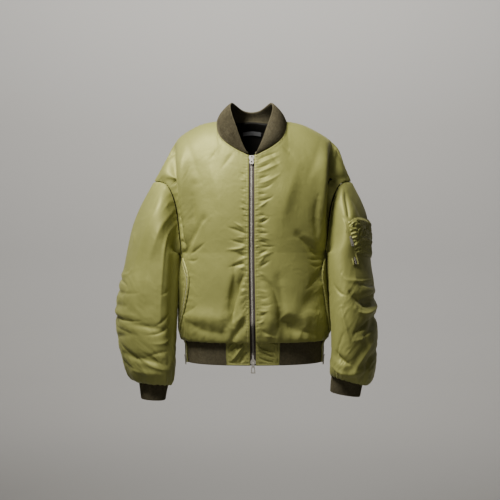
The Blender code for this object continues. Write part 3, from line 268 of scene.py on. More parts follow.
def half_ring(sizes, side):
    """A dense horizontal half section, centre front to centre back."""
    angle = np.linspace(0, math.pi, 181)
    half = sizes["half_left"] if side == LEFT else sizes["half_right"]
    across = half * np.abs(np.sin(angle)) ** (2 / SQUARENESS)
    along = np.abs(np.cos(angle)) ** (2 / SQUARENESS)
    depth = np.where(
        angle < math.pi / 2, -sizes["front"] * along, sizes["back"] * along
    )
    return np.stack([side * across, depth, np.full_like(angle, sizes["height"])], axis=1)


def seam_place(sizes, side):
    """Where the side seam lies on a section, from front to back."""
    return sizes["seam_left"] if side == LEFT else sizes["seam_right"]


def ring_row(sizes, side, face, shares):
    """Points of one body section on the front, from the zip's edge to the side seam, or on the back, from the
    centre back to the side seam."""
    ring = half_ring(sizes, side)
    knots = chord_knots(ring)
    seam = np.interp(seam_place(sizes, side), ring[:, 1], knots)
    if face == "front":
        edge = ZIP_OPENING + side * sizes["zip_x"]
        start = np.interp(edge, side * ring[:60, 0], knots[:60])
    else:
        start = 1.0
    return at_share(ring, start + (seam - start) * shares)


def sleeve_top(side):
    name = "x_left" if side == LEFT else "x_right"
    return np.array([side * SHOULDER[name][-1], SHOULDER["y"][-1], SHOULDER["height"][-1]])


def underarm(side):
    return ring_row(section_sizes(TORSO, 1.0), side, "front", np.array([1.0]))[0]


def armhole(side, share):
    """The armhole seam, a closed loop from the sleeve top down its front and up its back. Returns its points
    and the share of the loop at the underarm."""
    top, low = sleeve_top(side), underarm(side)

    def seam_points(rows):
        x = low[0] + rows["reach"] * (top[0] - low[0])
        return np.stack([x, rows["y"], rows["height"]], axis=1)

    front, back = seam_points(ARMHOLE_FRONT), seam_points(ARMHOLE_BACK)
    loop = np.vstack([top, front, low, back])
    around = np.vstack([loop, loop, loop, loop[:1]])
    lengths = np.linalg.norm(np.diff(around, axis=0), axis=1)
    along = np.concatenate([[0], np.cumsum(lengths)])
    total = along[len(loop)]
    points = cubic(along, around, total * (1 + np.asarray(share, float)))
    return points, along[len(front) + 1] / total


def ridge(side, share):
    """The shoulder seam, from the neck to the sleeve top."""
    name = "x_left" if side == LEFT else "x_right"
    rows = np.stack([side * SHOULDER[name], SHOULDER["y"], SHOULDER["height"]], axis=1)
    return cubic(chord_knots(rows), rows, share)


def dome(start, end, power, stop):
    """A dense column from start up and over to end: a quarter of a superellipse, stopped at angle stop."""
    angle = np.linspace(0, stop, 61)[:, None]
    rise = np.sin(angle) ** (2 / power)
    back = 1 - np.cos(angle) ** (2 / power)
    return np.hstack(
        [
            start[0] + (end[0] - start[0]) * back,
            start[1] + (end[1] - start[1]) * back,
            start[2] + (end[2] - start[2]) * rise,
        ]
    )


def yoke_column(side, face, s, start):
    """The dense column of a body panel at share s of its width, from the underarm level to its top."""
    if s >= NECK_SHARE:
        end = ridge(side, np.array([(s - NECK_SHARE) / (1 - NECK_SHARE)]))[0]
        return dome(start, end, 2.35, math.pi / 2)
    share = s / NECK_SHARE
    seam = ridge(side, np.array([0.0]))[0]
    lift = 0.030 * (1 - ease(share))
    if face == "front":
        power = 2.35
        rows = np.stack([NECK_FRONT["x"], NECK_FRONT["height"]], axis=1)
        x, height = cubic(chord_knots(rows), rows, np.array([share]))[0]
        top = seam[2] + 0.3 * lift
        rise = min((height - start[2]) / (top - start[2]), 1.0)
        stop = math.asin(rise ** (power / 2))
    else:
        power = 2.35 + 1.1 * (1 - ease(share))
        rows = np.stack([NECK_BACK["x"], NECK_BACK["y"]], axis=1)
        x, y = cubic(chord_knots(rows), rows, np.array([share]))[0]
        top = seam[2] + lift
        stop = math.acos(((y - seam[1]) / (start[1] - seam[1])) ** (power / 2))
    over = 1 - math.cos(stop) ** (2 / power)
    end = np.array([start[0] + (side * x - start[0]) / over, seam[1], top])
    return dome(start, end, power, stop)


def body_base(side, face, s_at, t_at):
    """The smooth base of a body panel, at shares s of its width and t of its length: an array (s, t, 3)."""
    s_at, t_at = np.asarray(s_at, float), np.asarray(t_at, float)
    low = t_at <= UNDERARM_SHARE
    rows = [
        ring_row(section_sizes(TORSO, t / UNDERARM_SHARE), side, face, s_at)
        for t in t_at[low]
    ]
    high = (t_at[~low] - UNDERARM_SHARE) / (1 - UNDERARM_SHARE)
    if not len(high):
        return np.stack(rows, axis=1)
    chest = ring_row(section_sizes(TORSO, 1.0), side, face, np.append(s_at, 1.0))
    columns = np.stack(
        [
            at_share(yoke_column(side, face, s, start), high)
            for s, start in zip(np.append(s_at, 1.0), chest)
        ]
    )
    under = armhole(side, 0.0)[1]
    edge = armhole(side, under * (1 - high) if face == "front" else under + (1 - under) * high)[0]
    pull = ease((s_at - 0.42) / 0.58)[:, None, None] * (edge - columns[-1])
    upper = columns[:-1] + pull
    return np.concatenate([np.stack(rows, axis=1), upper], axis=1) if rows else upper


# ---------------------------------------------------------------- the sleeve's base surface

# How the cloth leaves the armhole seam, as the way to the middle of the cap, by its place round the seam.
CAP_START = table(
    "out forward down",
    ("top", 0.078, 0.000, 0.120),
    ("front", 0.045, 0.075, 0.045),
    ("under", 0.018, 0.000, 0.028),
    ("back", 0.045, -0.070, 0.045),
)


def sleeve_ring(sections, side, angle, share):
    """Points round a sleeve or cuff section: angle 0 is the outer edge, a quarter turn the front."""
    names = list(sections)
    path = np.stack([sections["height"], sections["outer"] * 0.5], axis=1)
    values = cubic(
        chord_knots(path), np.stack([sections[n] for n in names], axis=1), share
    )
    height, inner, outer, front, back, drop = values
    across, along = np.cos(angle), np.sin(angle)
    power = 2 / 2.15
    across_full = np.sign(across) * np.abs(across) ** power
    along_full = np.sign(along) * np.abs(along) ** power
    x = (inner + outer) / 2 + (outer - inner) / 2 * across_full
    y = (front + back) / 2 - (back - front) / 2 * along_full + SLEEVE_TWIST * (back - front) * across_full
    z = height - drop / 2 * across_full
    return np.stack([side * x, y, z], axis=1)


def sleeve_base(side, around, v_at):
    """The smooth base of a sleeve, at shares of the way round it and v of its length: (around, v, 3)."""
    around = np.asarray(around, float)
    seam, under = armhole(side, around)
    angle = np.where(
        around < under,
        math.pi * around / under,
        math.pi * (1 + (around - under) / (1 - under)),
    )
    across, along = np.cos(angle), np.sin(angle)
    weights = [
        np.maximum(across, 0) ** 2,
        np.maximum(along, 0) ** 2,
        np.maximum(-across, 0) ** 2,
        np.maximum(-along, 0) ** 2,
    ]
    out, forward, down = (
        sum(w * value for w, value in zip(weights, CAP_START[name]))
        for name in ("out", "forward", "down")
    )
    leave = 3 * np.stack([side * out, -forward, -down], axis=1)
    sections = SLEEVE[side]
    first = sleeve_ring(sections, side, angle, 0.0)
    arrive = 0.16 * np.maximum(0.25, 0.6 + 0.4 * across)[:, None] * np.array([side * 0.25, 0, -1.0])
    rings = [seam]
    for mid in (0.33, 0.66):
        a, b = 1 - mid, mid
        rings.append(
            seam * (a * a * (1 + 2 * b))
            + first * (b * b * (1 + 2 * a))
            + leave * (a * a * b)
            - arrive * (a * b * b)
        )
    count = len(sections["height"])
    path = np.stack([sections["height"], sections["outer"] * 0.5], axis=1)
    shares = chord_knots(path)
    rings += [sleeve_ring(sections, side, angle, share) for share in shares]
    rings = np.stack(rings, axis=1)
    lengths = np.linalg.norm(np.diff(rings, axis=1), axis=2).mean(0)
    knots = np.concatenate([[0], np.cumsum(lengths)]) / lengths.sum()
    flat = np.moveaxis(rings, 1, 0).reshape(count + 3, -1)
    read = cubic(knots, flat, v_at).reshape(len(v_at), len(around), 3)
    return np.moveaxis(read, 0, 1)


# ---------------------------------------------------------------- the collar, hem and cuffs


def neck_seam(share):
    """The neck seam, from the zip on the wearer's right round the back to the zip on the left."""
    half = {}
    for side in (RIGHT, LEFT):
        points = []
        for face in ("front", "back"):
            shares = np.linspace(0, NECK_SHARE, 25)
            chest = ring_row(section_sizes(TORSO, 1.0), side, face, shares)
            ends = np.stack(
                [yoke_column(side, face, s, start)[-1] for s, start in zip(shares, chest)]
            )
            points.append(ends if face == "front" else ends[::-1])
        half[side] = np.vstack([points[0], points[1][1:]])
    loop = np.vstack([half[RIGHT], half[LEFT][::-1][1:]])
    return at_share(loop, share)


def collar_edge(share):
    """The collar's top edge, over the same shares as the neck seam."""
    half = np.stack([COLLAR_EDGE["x"], COLLAR_EDGE["y"], COLLAR_EDGE["height"]], axis=1)
    rows = np.vstack([half * (-1, 1, 1), half[:-1][::-1]])
    return cubic(chord_knots(rows), rows, share)


def collar_base(shares, v_at):
    """The collar band: neck seam at v 0, top edge at v 1, bowed out a little between them."""
    low, high = neck_seam(shares), collar_edge(shares)
    away = high - (0, 0.02, 0)
    away[:, 2] = 0
    away /= np.linalg.norm(away, axis=1)[:, None]
    width = np.linalg.norm(high - low, axis=1)[:, None]
    return np.stack(
        [
            low + (high - low) * v + away * width * 0.30 * v * (1 - v) * 1.6
            for v in v_at
        ],
        axis=1,
    )


# ---------------------------------------------------------------- folds

# The largest folds, on the panel that carries them: start and end (across, height), half width, depth
# (outward positive) and skew, which makes one flank steeper.
FOLD_COLUMNS = "x1 z1 x2 z2 width depth skew"
FRONT_FOLDS = {
    LEFT: table(
        FOLD_COLUMNS,
        ("chest_roll", 0.2060, -0.1050, 0.1960, -0.3100, 0.0200, 0.0080, 0.0),
        ("shoulder_crease", 0.2420, -0.0700, 0.2280, -0.1600, 0.0110, -0.0080, 0.0),
        ("side_zip_pull", 0.1320, -0.3050, 0.1880, -0.3650, 0.0130, -0.0090, 0.6),
        ("side_zip_dent", 0.1350, -0.5150, 0.1780, -0.4600, 0.0160, -0.0085, 0.0),
        ("zip_bulge", 0.0420, -0.4400, 0.0560, -0.5300, 0.0220, 0.0080, 0.0),
        ("tab_hang", 0.0800, -0.4300, 0.0950, -0.5500, 0.0200, -0.0090, 0.5),
        ("hem_shadow", 0.0950, -0.5400, 0.1750, -0.5650, 0.0200, -0.0070, 0.0),
        ("chest_fall", 0.1050, -0.1200, 0.0650, -0.3000, 0.0300, 0.0040, 0.0),
    ),
    RIGHT: table(
        FOLD_COLUMNS,
        ("chest_roll", 0.1960, -0.1050, 0.1860, -0.3200, 0.0190, 0.0080, 0.0),
        ("shoulder_crease", 0.2280, -0.0900, 0.2080, -0.1800, 0.0110, -0.0080, 0.0),
        ("chest_groove", 0.1560, -0.1700, 0.1620, -0.3000, 0.0130, -0.0065, 0.0),
        ("side_zip_pull", 0.1280, -0.2700, 0.1800, -0.3550, 0.0130, -0.0090, -0.6),
        ("belly_crescent", 0.0480, -0.4000, 0.0620, -0.5050, 0.0140, -0.0110, 0.5),
        ("zip_bulge", 0.0260, -0.4300, 0.0300, -0.5100, 0.0160, 0.0065, 0.0),
        ("tab_hang", 0.0250, -0.5000, 0.0850, -0.5700, 0.0200, -0.0110, 0.4),
        ("hem_roll", 0.0900, -0.5350, 0.1800, -0.5300, 0.0200, 0.0050, 0.0),
        ("hem_shadow", 0.1050, -0.5600, 0.1750, -0.5500, 0.0160, -0.0060, 0.0),
    ),
}
BACK_FOLDS = table(
    FOLD_COLUMNS,
    ("left_armhole_valley", 0.2150, -0.1300, 0.2000, -0.3200, 0.0180, -0.0160, 0.0),
    ("right_armhole_valley", -0.2080, -0.1300, -0.1950, -0.3200, 0.0180, -0.0160, 0.0),
    ("left_blade_fall", 0.1450, -0.1800, 0.1300, -0.4200, 0.0200, 0.0055, 0.0),
    ("right_blade_fall", -0.1350, -0.1700, -0.1250, -0.4300, 0.0200, 0.0055, 0.0),
    ("left_waist_dent", 0.0700, -0.4800, 0.1400, -0.5350, 0.0180, -0.0065, 0.5),
    ("right_waist_dent", -0.0450, -0.4700, -0.1350, -0.5300, 0.0180, -0.0065, -0.5),
    ("middle_dent", -0.0300, -0.5000, 0.0350, -0.5450, 0.0160, -0.0055, 0.4),
)
# On a sleeve the folds are placed by angle from the outer edge through the front, in degrees, and by height.
SLEEVE_COLUMNS = "a1 z1 a2 z2 width depth skew"
SLEEVE_FOLDS = {
    LEFT: table(
        SLEEVE_COLUMNS,
        ("front_pleat", 84, -0.1900, 92, -0.3600, 0.0120, -0.0070, 0.6),
        ("under_pocket", 10, -0.4450, 78, -0.4350, 0.0100, -0.0080, 0.5),
        ("elbow_arc", 8, -0.4800, 66, -0.4900, 0.0130, -0.0110, 0.5),
        ("forearm_arc", 5, -0.5300, 70, -0.5850, 0.0130, -0.0110, -0.4),
        ("lower_arc", 5, -0.6200, 66, -0.6500, 0.0120, -0.0070, 0.5),
        ("inner_roll", 110, -0.6500, 150, -0.6350, 0.0110, -0.0060, 0.0),
        ("side_pull_hollow", 203, -0.6120, 203, -0.6560, 0.0210, -0.0160, 0.0),
        ("cuff_roll", 40, -0.6700, 120, -0.6850, 0.0100, 0.0060, 0.0),
        ("back_elbow", 215, -0.4600, 320, -0.4900, 0.0150, -0.0100, 0.5),
        ("back_forearm", 200, -0.5600, 310, -0.5400, 0.0140, -0.0090, -0.5),
        ("back_lower", 220, -0.6350, 330, -0.6200, 0.0130, -0.0070, 0.5),
        ("cap_back", 250, -0.2200, 275, -0.3400, 0.0150, -0.0070, 0.0),
    ),
    RIGHT: table(
        SLEEVE_COLUMNS,
        ("front_crease", 62, -0.1800, 74, -0.5600, 0.0120, 0.0045, 0.0),
        ("elbow_nick", -8, -0.4550, 40, -0.4650, 0.0110, -0.0085, 0.6),
        ("elbow_roll", 5, -0.5000, 55, -0.4980, 0.0110, -0.0055, 0.5),
        ("outer_nick", -10, -0.5200, 30, -0.5450, 0.0100, -0.0090, 0.6),
        ("front_roll", 70, -0.5450, 130, -0.5600, 0.0110, -0.0065, 0.5),
        ("outer_roll", 10, -0.5950, 60, -0.5850, 0.0120, -0.0060, -0.5),
        ("lower_arc", 45, -0.6300, 105, -0.6450, 0.0120, -0.0085, 0.5),
        ("side_pull_hollow", 203, -0.6120, 203, -0.6560, 0.0210, -0.0060, 0.0),
        ("cuff_roll", 60, -0.6750, 120, -0.6850, 0.0090, 0.0060, 0.0),
        ("back_elbow", 215, -0.4700, 325, -0.4950, 0.0150, -0.0100, 0.5),
        ("back_forearm", 205, -0.5500, 300, -0.5700, 0.0140, -0.0090, -0.5),
        ("back_lower", 220, -0.6300, 330, -0.6250, 0.0130, -0.0070, 0.5),
        ("cap_back", 250, -0.2200, 275, -0.3400, 0.0150, -0.0070, 0.0),
    ),
}


def fold_height(folds, across, height):
    """The sum of the folds' offsets at points (across, height). Each fold fades out at its two ends."""
    total = np.zeros_like(across)
    for x1, z1, x2, z2, width, depth, skew in zip(*folds.values()):
        length = math.hypot(x2 - x1, z2 - z1)
        along = ((across - x1) * (x2 - x1) + (height - z1) * (z2 - z1)) / length**2
        off = ((across - x1) * (z2 - z1) - (height - z1) * (x2 - x1)) / length / width
        inside = np.clip(along, 0, 1)
        past = (along - inside) * length / width
        fade = np.exp(-(past**2)) * (0.35 + 0.65 * np.sin(math.pi * np.clip(inside, 0.12, 0.88)))
        total += depth * fade * np.exp(-(off**2)) * (1 + skew * np.tanh(2 * off))
    return total


def unit(vectors):
    return vectors / np.maximum(np.linalg.norm(vectors, axis=-1), 1e-12)[..., None]


def normals(surface, s_at, t_at, turn, low=0.0, closed=False):
    """Unit normals of a surface function at shares s and t. turn, 1 or -1, points them out of the cloth."""
    step = 0.0012
    s_low, s_high = s_at - step, s_at + step
    if not closed:
        s_low, s_high = np.maximum(s_low, low), np.minimum(s_high, 1)
    t_low, t_high = np.maximum(t_at - step, 0), np.minimum(t_at + step, 1)
    along = surface(s_high, t_at) - surface(s_low, t_at)
    up = surface(s_at, t_high) - surface(s_at, t_low)
    return unit(np.cross(along, up) * turn)


# Gathers: how far apart they are along a seam, how high they stand and how far they run into the cloth.
HEM_GATHER = {"pitch": 0.034, "height": 0.0035, "reach": 0.045}
CUFF_GATHERS = 9
CUFF_GATHER_HEIGHT = 0.0035
SLEEVE_RADIUS = 0.083  # of a middling sleeve section, to turn an angle into a width


def front_outer(side, s_at, t_at):
    """The outer points of a front, with its folds and the gathers over the hem rib."""

    def smooth(s, t):
        return body_base(side, "front", s, t)

    base = smooth(s_at, t_at)
    normal = normals(smooth, s_at, t_at, side)
    across, height = side * base[..., 0], base[..., 2]
    offset = fold_height(FRONT_FOLDS[side], across, height)
    edge = ease((1 - s_at) / 0.16)[:, None] * ease(t_at / 0.05)[None, :]
    top = ease((1 - t_at) / 0.07)[None, :]
    from_zip = across - across[:1]
    behind_zip = np.where(offset < 0, ease((from_zip - 0.016) / 0.025), 1)
    offset = offset * edge * top * behind_zip
    rise = t_at * 0.60
    gather = HEM_GATHER["height"] * np.exp(-rise / HEM_GATHER["reach"]) * ease(t_at / 0.03)
    turns = s_at * 0.29 / HEM_GATHER["pitch"]
    offset += gather[None, :] * np.sin(2 * math.pi * turns + 1.0)[:, None] * edge
    return base + normal * offset[..., None]


def back_base(s_at, t_at):
    right = body_base(RIGHT, "back", -s_at[s_at < 0], t_at)
    left = body_base(LEFT, "back", s_at[s_at >= 0], t_at)
    return np.concatenate([right, left])


def back_outer(s_at, t_at):
    """The outer points of the back. s runs from the wearer's right side seam, -1, to the left one, 1."""
    base = back_base(s_at, t_at)
    normal = normals(back_base, s_at, t_at, -1, low=-1)
    across, height = base[..., 0], base[..., 2]
    edge = ease((1 - np.abs(s_at)) / 0.14)[:, None] * ease(t_at / 0.05)[None, :]
    offset = fold_height(BACK_FOLDS, across, height) * edge * ease((1 - t_at) / 0.06)[None, :]
    rise = t_at * 0.60
    gather = HEM_GATHER["height"] * np.exp(-rise / HEM_GATHER["reach"]) * ease(t_at / 0.03)
    turns = s_at * 0.27 / HEM_GATHER["pitch"]
    offset += gather[None, :] * np.sin(2 * math.pi * turns)[:, None] * edge
    return base + normal * offset[..., None]


def sleeve_angle(side, around):
    under = armhole(side, 0.0)[1]
    return np.where(
        around < under,
        180 * around / under,
        180 * (1 + (around - under) / (1 - under)),
    )


def sleeve_outer(side, around, v_at):
    """The outer points of a sleeve, with its folds and the gathers over the cuff."""
    around = np.mod(around, 1)

    def smooth(s, t):
        return sleeve_base(side, np.mod(s, 1), t)

    base = smooth(around, v_at)
    normal = normals(smooth, around, v_at, side, closed=True)
    angle = sleeve_angle(side, around)
    across = np.repeat(np.radians(angle)[:, None] * SLEEVE_RADIUS, len(v_at), axis=1)
    height = base[..., 2]
    offset = np.zeros_like(across)
    for turn in (-360, 0, 360):
        near = dict(SLEEVE_FOLDS[side])
        for end in ("a1", "a2"):
            near[end] = np.radians(near[end] + turn) * SLEEVE_RADIUS
        offset += fold_height(near, across, height)
    offset *= ease(v_at / 0.10)[None, :] * ease((1 - v_at) / 0.06)[None, :]
    low = np.exp(-(((1 - v_at) - 0.07) ** 2) / 0.05**2) * ease((1 - v_at) / 0.05)
    waves = np.sin(np.radians(angle) * CUFF_GATHERS + 0.7 * side)
    offset += CUFF_GATHER_HEIGHT * waves[:, None] * low[None, :]
    return base + normal * offset[..., None]


# ---------------------------------------------------------------- noise and creases


def noise(u, v, seed):
    """Smooth gradient noise, about -1 to 1, with cells one unit wide."""
    angles = np.random.default_rng(seed).uniform(0, 2 * math.pi, (256, 256))
    i, j = np.floor(u).astype(int), np.floor(v).astype(int)
    x, y = u - i, v - j

    def corner(a, b):
        angle = angles[(i + a) % 256, (j + b) % 256]
        return np.cos(angle) * (x - a) + np.sin(angle) * (y - b)

    across, up = ease(x), ease(y)
    low = corner(0, 0) * (1 - across) + corner(1, 0) * across
    high = corner(0, 1) * (1 - across) + corner(1, 1) * across
    return 1.45 * (low * (1 - up) + high * up)


def crumple(u, v, seed):
    """Crumpled cloth: soft facets between crests, about -1 to 1, with cells one unit wide."""
    warp_u = u + 0.6 * noise(u * 0.7, v * 0.7, seed + 1)
    warp_v = v + 0.6 * noise(u * 0.7, v * 0.7, seed + 2)
    large = 0.5 - np.sqrt(noise(warp_u, warp_v, seed + 3) ** 2 + 0.006) * 1.7
    small = 0.5 - np.sqrt(noise(warp_u * 2.1, warp_v * 2.1, seed + 4) ** 2 + 0.006) * 1.7
    return 0.72 * large + 0.36 * small


def bend_points(x1, z1, xm, zm, x2, z2, count=13):
    t = np.linspace(0, 1, count)
    a, b, c = (1 - t) ** 2, 2 * t * (1 - t), t**2
    control_x, control_z = 2 * xm - (x1 + x2) / 2, 2 * zm - (z1 + z2) / 2
    return a * x1 + b * control_x + c * x2, a * z1 + b * control_z + c * z2


def creases(rows, across, height):
    """The sum of creases at points (across, height). Each row is a bent line through three points, then its
    half width, its depth (outward positive), how sharp its crest is and how much steeper its left flank
    is."""
    total = np.zeros_like(across)
    for x1, z1, xm, zm, x2, z2, width, depth, sharp, skew in zip(*rows.values()):
        line_x, line_z = bend_points(x1, z1, xm, zm, x2, z2)
        reach = 3.2 * width
        near = (across > line_x.min() - reach) & (across < line_x.max() + reach)
        near &= (height > line_z.min() - reach) & (height < line_z.max() + reach)
        if not near.any():
            continue
        px, pz = across[near][:, None], height[near][:, None]
        dx, dz = np.diff(line_x), np.diff(line_z)
        length = np.hypot(dx, dz)
        along = np.clip(((px - line_x[:-1]) * dx + (pz - line_z[:-1]) * dz) / length**2, 0, 1)
        off_x, off_z = px - line_x[:-1] - along * dx, pz - line_z[:-1] - along * dz
        gap = np.hypot(off_x, off_z)
        best = gap.argmin(axis=1)
        pick = np.arange(len(best)), best
        start = np.concatenate([[0], np.cumsum(length)])
        share = (start[best] + along[pick] * length[best]) / start[-1]
        side = np.sign(dx[best] * off_z[pick] - dz[best] * off_x[pick])
        q = gap[pick] / (width * (0.55 + 0.45 * np.sin(math.pi * np.clip(share, 0.05, 0.95))))
        soft = np.exp(-(q**2))
        crisp = np.exp(-1.5 * (np.sqrt(q**2 + 0.03) - 0.17))
        shape = (1 - sharp) * soft + sharp * crisp
        fade = np.sin(math.pi * np.clip(share, 0.06, 0.94)) ** 0.8
        total[near] += depth * fade * shape * (1 + skew * np.tanh(1.8 * q * side))
    return total


CREASE_COLUMNS = "x1 z1 xm zm x2 z2 width depth sharp skew"


def seam_puckers(distance, along, seed, pitch, reach, height, lean=0.0):
    """Puckers that run from a seam into the cloth, uneven in length, height and spacing."""
    place = (along - lean * distance) / pitch
    place = place + 0.35 * noise(along * 9, along * 0 + 0.5, seed)
    wave = np.sin(2 * math.pi * place)
    wave = np.where(wave > 0, wave, wave * 0.6)
    own = 0.65 + 0.55 * noise(place * 0.5 + 3.1, along * 0 + 7.5, seed + 1)
    length = reach * (0.75 + 0.6 * noise(place * 0.6, along * 0 + 2.5, seed + 2))
    rise = ease(distance / 0.006)
    return height * own * wave * rise * np.exp(-((distance / np.maximum(length, 0.01)) ** 1.6))


# ---------------------------------------------------------------- fine surfaces


class Cloth:
    """A fine grid of points with its outward normals, and each point's distance from the grid's four
    edges."""

    def __init__(self, base, turn, closed=False):
        self.closed, self.turn = closed, turn
        self.base = base
        self.normal = self.normals(base)
        step = np.linalg.norm(np.diff(base, axis=0), axis=2)
        rise = np.linalg.norm(np.diff(base, axis=1), axis=2)
        zero_s, zero_t = np.zeros((1, base.shape[1])), np.zeros((base.shape[0], 1))
        self.s = np.concatenate([zero_s, np.cumsum(step, axis=0)])
        self.t = np.concatenate([zero_t, np.cumsum(rise, axis=1)], axis=1)
        self.s_left, self.t_left = self.s[-1:] - self.s, self.t[:, -1:] - self.t
        self.points = base

    def normals(self, points):
        if self.closed:
            points = np.concatenate([points[-1:], points, points[:1]])
        along, up = np.gradient(points, axis=0), np.gradient(points, axis=1)
        out = unit(np.cross(along, up) * self.turn)
        return out[1:-1] if self.closed else out

    def move_by(self, offset):
        """Moves the points by a vector each and takes the normals again."""
        self.points = self.points + offset
        self.normal = self.normals(self.points)

    def raise_by(self, offset):
        """Moves the points out by offset and takes the normals again."""
        self.points = self.points + self.normal * offset[..., None]
        self.normal = self.normals(self.points)

    def edge(self):
        """How far each point lies from the nearest of the four edges."""
        return np.minimum(np.minimum(self.s, self.s_left), np.minimum(self.t, self.t_left))

    def line(self, edge, distance, lift=0.0):
        """The points at this distance from an edge, s0, s1, t0 or t1, and their normals."""
        fields = {"s0": self.s, "s1": self.s_left, "t0": self.t, "t1": self.t_left}
        field = fields[edge]
        flip = edge[1] == "1"
        if edge[0] == "t":
            points, normal = self.points, self.normal
        else:
            points, normal, field = (a.swapaxes(0, 1) for a in (self.points, self.normal, field))
        found, out = [], []
        for column, outward, values in zip(points, normal, field):
            if flip:
                column, outward, values = column[::-1], outward[::-1], values[::-1]
            found.append([np.interp(distance, values, column[:, k]) for k in range(3)])
            out.append([np.interp(distance, values, outward[:, k]) for k in range(3)])
        found, out = np.array(found), unit(np.array(out))
        return found + out * lift, out


def build(name, points, faces, materials, uv=None, slots=None):
    """An object from arrays of points and faces, shaded smooth."""
    mesh = bpy.data.meshes.new(name)
    mesh.from_pydata(points.tolist(), [], faces)
    for finish in materials:
        mesh.materials.append(finish)
    if slots is not None:
        mesh.polygons.foreach_set("material_index", slots)
    if uv is not None:
        layer = mesh.uv_layers.new(name="cloth")
        corners = np.zeros(len(mesh.loops), np.int32)
        mesh.loops.foreach_get("vertex_index", corners)
        layer.data.foreach_set("uv", uv[corners].astype(np.float32).ravel())
    mesh.shade_smooth()
    mesh.set_sharp_from_angle(angle=math.radians(70))
    made = bpy.data.objects.new(name, mesh)
    bpy.context.scene.collection.objects.link(made)
    return made


def quads(columns, rows, first, closed, flip):
    """Faces of a grid whose points are numbered from first, column by column."""
    i = np.arange(columns if closed else columns - 1)[:, None]
    j = np.arange(rows - 1)[None, :]
    a, b = first + i * rows + j, first + ((i + 1) % columns) * rows + j
    corners = np.stack([a, b, b + 1, a + 1], axis=-1).reshape(-1, 4)
    return (corners[:, ::-1] if flip else corners).tolist()


INNER_EVERY = 3  # the inside of a shell has a point for every third one outside


def lowest_near(values, reach, closed):
    """Each value's minimum over the square of grid points around it."""
    for axis in (0, 1):
        best = values
        for step in range(1, reach + 1):
            for way in (step, -step):
                moved = np.roll(values, way, axis=axis)
                if not (closed and axis == 0):
                    edge = [slice(None)] * 2
                    edge[axis] = slice(0, step) if way > 0 else slice(-step, None)
                    moved[tuple(edge)] = values[tuple(edge)]
                best = np.minimum(best, moved)
        values = best
    return values


def cloth_shell(name, cloth, smooth, detail, materials, rim=0.0008, wall=0.0018, every=INNER_EVERY):
    """A closed shell. Its outside is the cloth's points. Its inside lies a wall's thickness behind the
    smooth points and behind every dent, but only rim behind the cloth at the edges, where the layers are
    sewn flat."""
    outer = cloth.points
    columns, rows = outer.shape[:2]
    edge = np.minimum(cloth.t, cloth.t_left)
    if not cloth.closed:
        edge = np.minimum(edge, np.minimum(cloth.s, cloth.s_left))
    share = ease(edge / 0.022)[..., None]
    depth = wall - np.minimum(lowest_near(detail, every + 1, cloth.closed), 0)
    inner = (smooth - cloth.normals(smooth) * depth[..., None]) * share
    inner += (outer - cloth.normal * rim) * (1 - share)
    inner = inner[::every, ::every]
    inner_columns, inner_rows = inner.shape[:2]
    points = np.vstack([outer.reshape(-1, 3), inner.reshape(-1, 3)])
    first = columns * rows
    flip = cloth.turn < 0
    faces = quads(columns, rows, 0, cloth.closed, flip)
    slots = [0] * len(faces)
    faces += quads(inner_columns, inner_rows, first, cloth.closed, not flip)
    blocks = inner_columns if cloth.closed else inner_columns - 1
    for low in (True, False):
        j, k = (0, 0) if low else (rows - 1, inner_rows - 1)
        for i in range(blocks):
            ring = [((i * every + n) % columns) * rows + j for n in range(every + 1)]
            ends = [first + ((i + 1) % inner_columns) * inner_rows + k, first + i * inner_rows + k]
            face = ring[::-1] + ends[::-1] if low != flip else ring + ends
            faces.append(face)
    if not cloth.closed:
        for low in (True, False):
            i, k = (0, 0) if low else (columns - 1, inner_columns - 1)
            for j in range(inner_rows - 1):
                ring = [i * rows + j * every + n for n in range(every + 1)]
                ends = [first + k * inner_rows + j + 1, first + k * inner_rows + j]
                face = ring + ends if low != flip else ring[::-1] + ends[::-1]
                faces.append(face)
    slots += [1] * (len(faces) - len(slots))
    uv = np.stack([cloth.s, cloth.t], axis=-1)
    uv = np.vstack([uv.reshape(-1, 2), uv[::every, ::every].reshape(-1, 2)])
    return build(name, points, faces, materials, uv, slots)


def thin_shell(name, cloth, smooth, detail, finish, thick):
    """A cloth of one finish on both faces, as thick at its edges as inside them."""
    return cloth_shell(name, cloth, smooth, detail, [finish, finish], rim=thick, wall=thick)


def stamp(name, template, faces, origins, frames, finish, scales=None):
    """One mesh of many small copies of a template, each at an origin with its own u, v and w directions."""
    count = len(origins)
    local = np.repeat(template[None], count, axis=0)
    if scales is not None:
        local = local * scales[:, None, :]
    points = origins[:, None, :] + np.einsum("nij,njk->nik", local, frames)
    steps = np.arange(count) * len(template)
    every = [[int(corner + step) for corner in face] for step in steps for face in faces]
    return build(name, points.reshape(-1, 3), every, [finish])


def along_line(points, normal, pitch, start=0.5):
    """Places every pitch metres along a polyline, with frames whose v runs along it and w out of the
    cloth."""
    lengths = np.concatenate([[0], np.cumsum(np.linalg.norm(np.diff(points, axis=0), axis=1))])
    at = np.arange(start * pitch, lengths[-1], pitch)
    origins = np.stack([np.interp(at, lengths, points[:, k]) for k in range(3)], axis=1)
    ahead = np.stack([np.interp(at + pitch * 0.3, lengths, points[:, k]) for k in range(3)], axis=1)
    behind_it = np.stack([np.interp(at - pitch * 0.3, lengths, points[:, k]) for k in range(3)], axis=1)
    v = unit(ahead - behind_it)
    w = np.stack([np.interp(at, lengths, normal[:, k]) for k in range(3)], axis=1)
    w = unit(w - v * (w * v).sum(1)[:, None])
    u = np.cross(v, w)
    return origins, np.stack([u, v, w], axis=1)


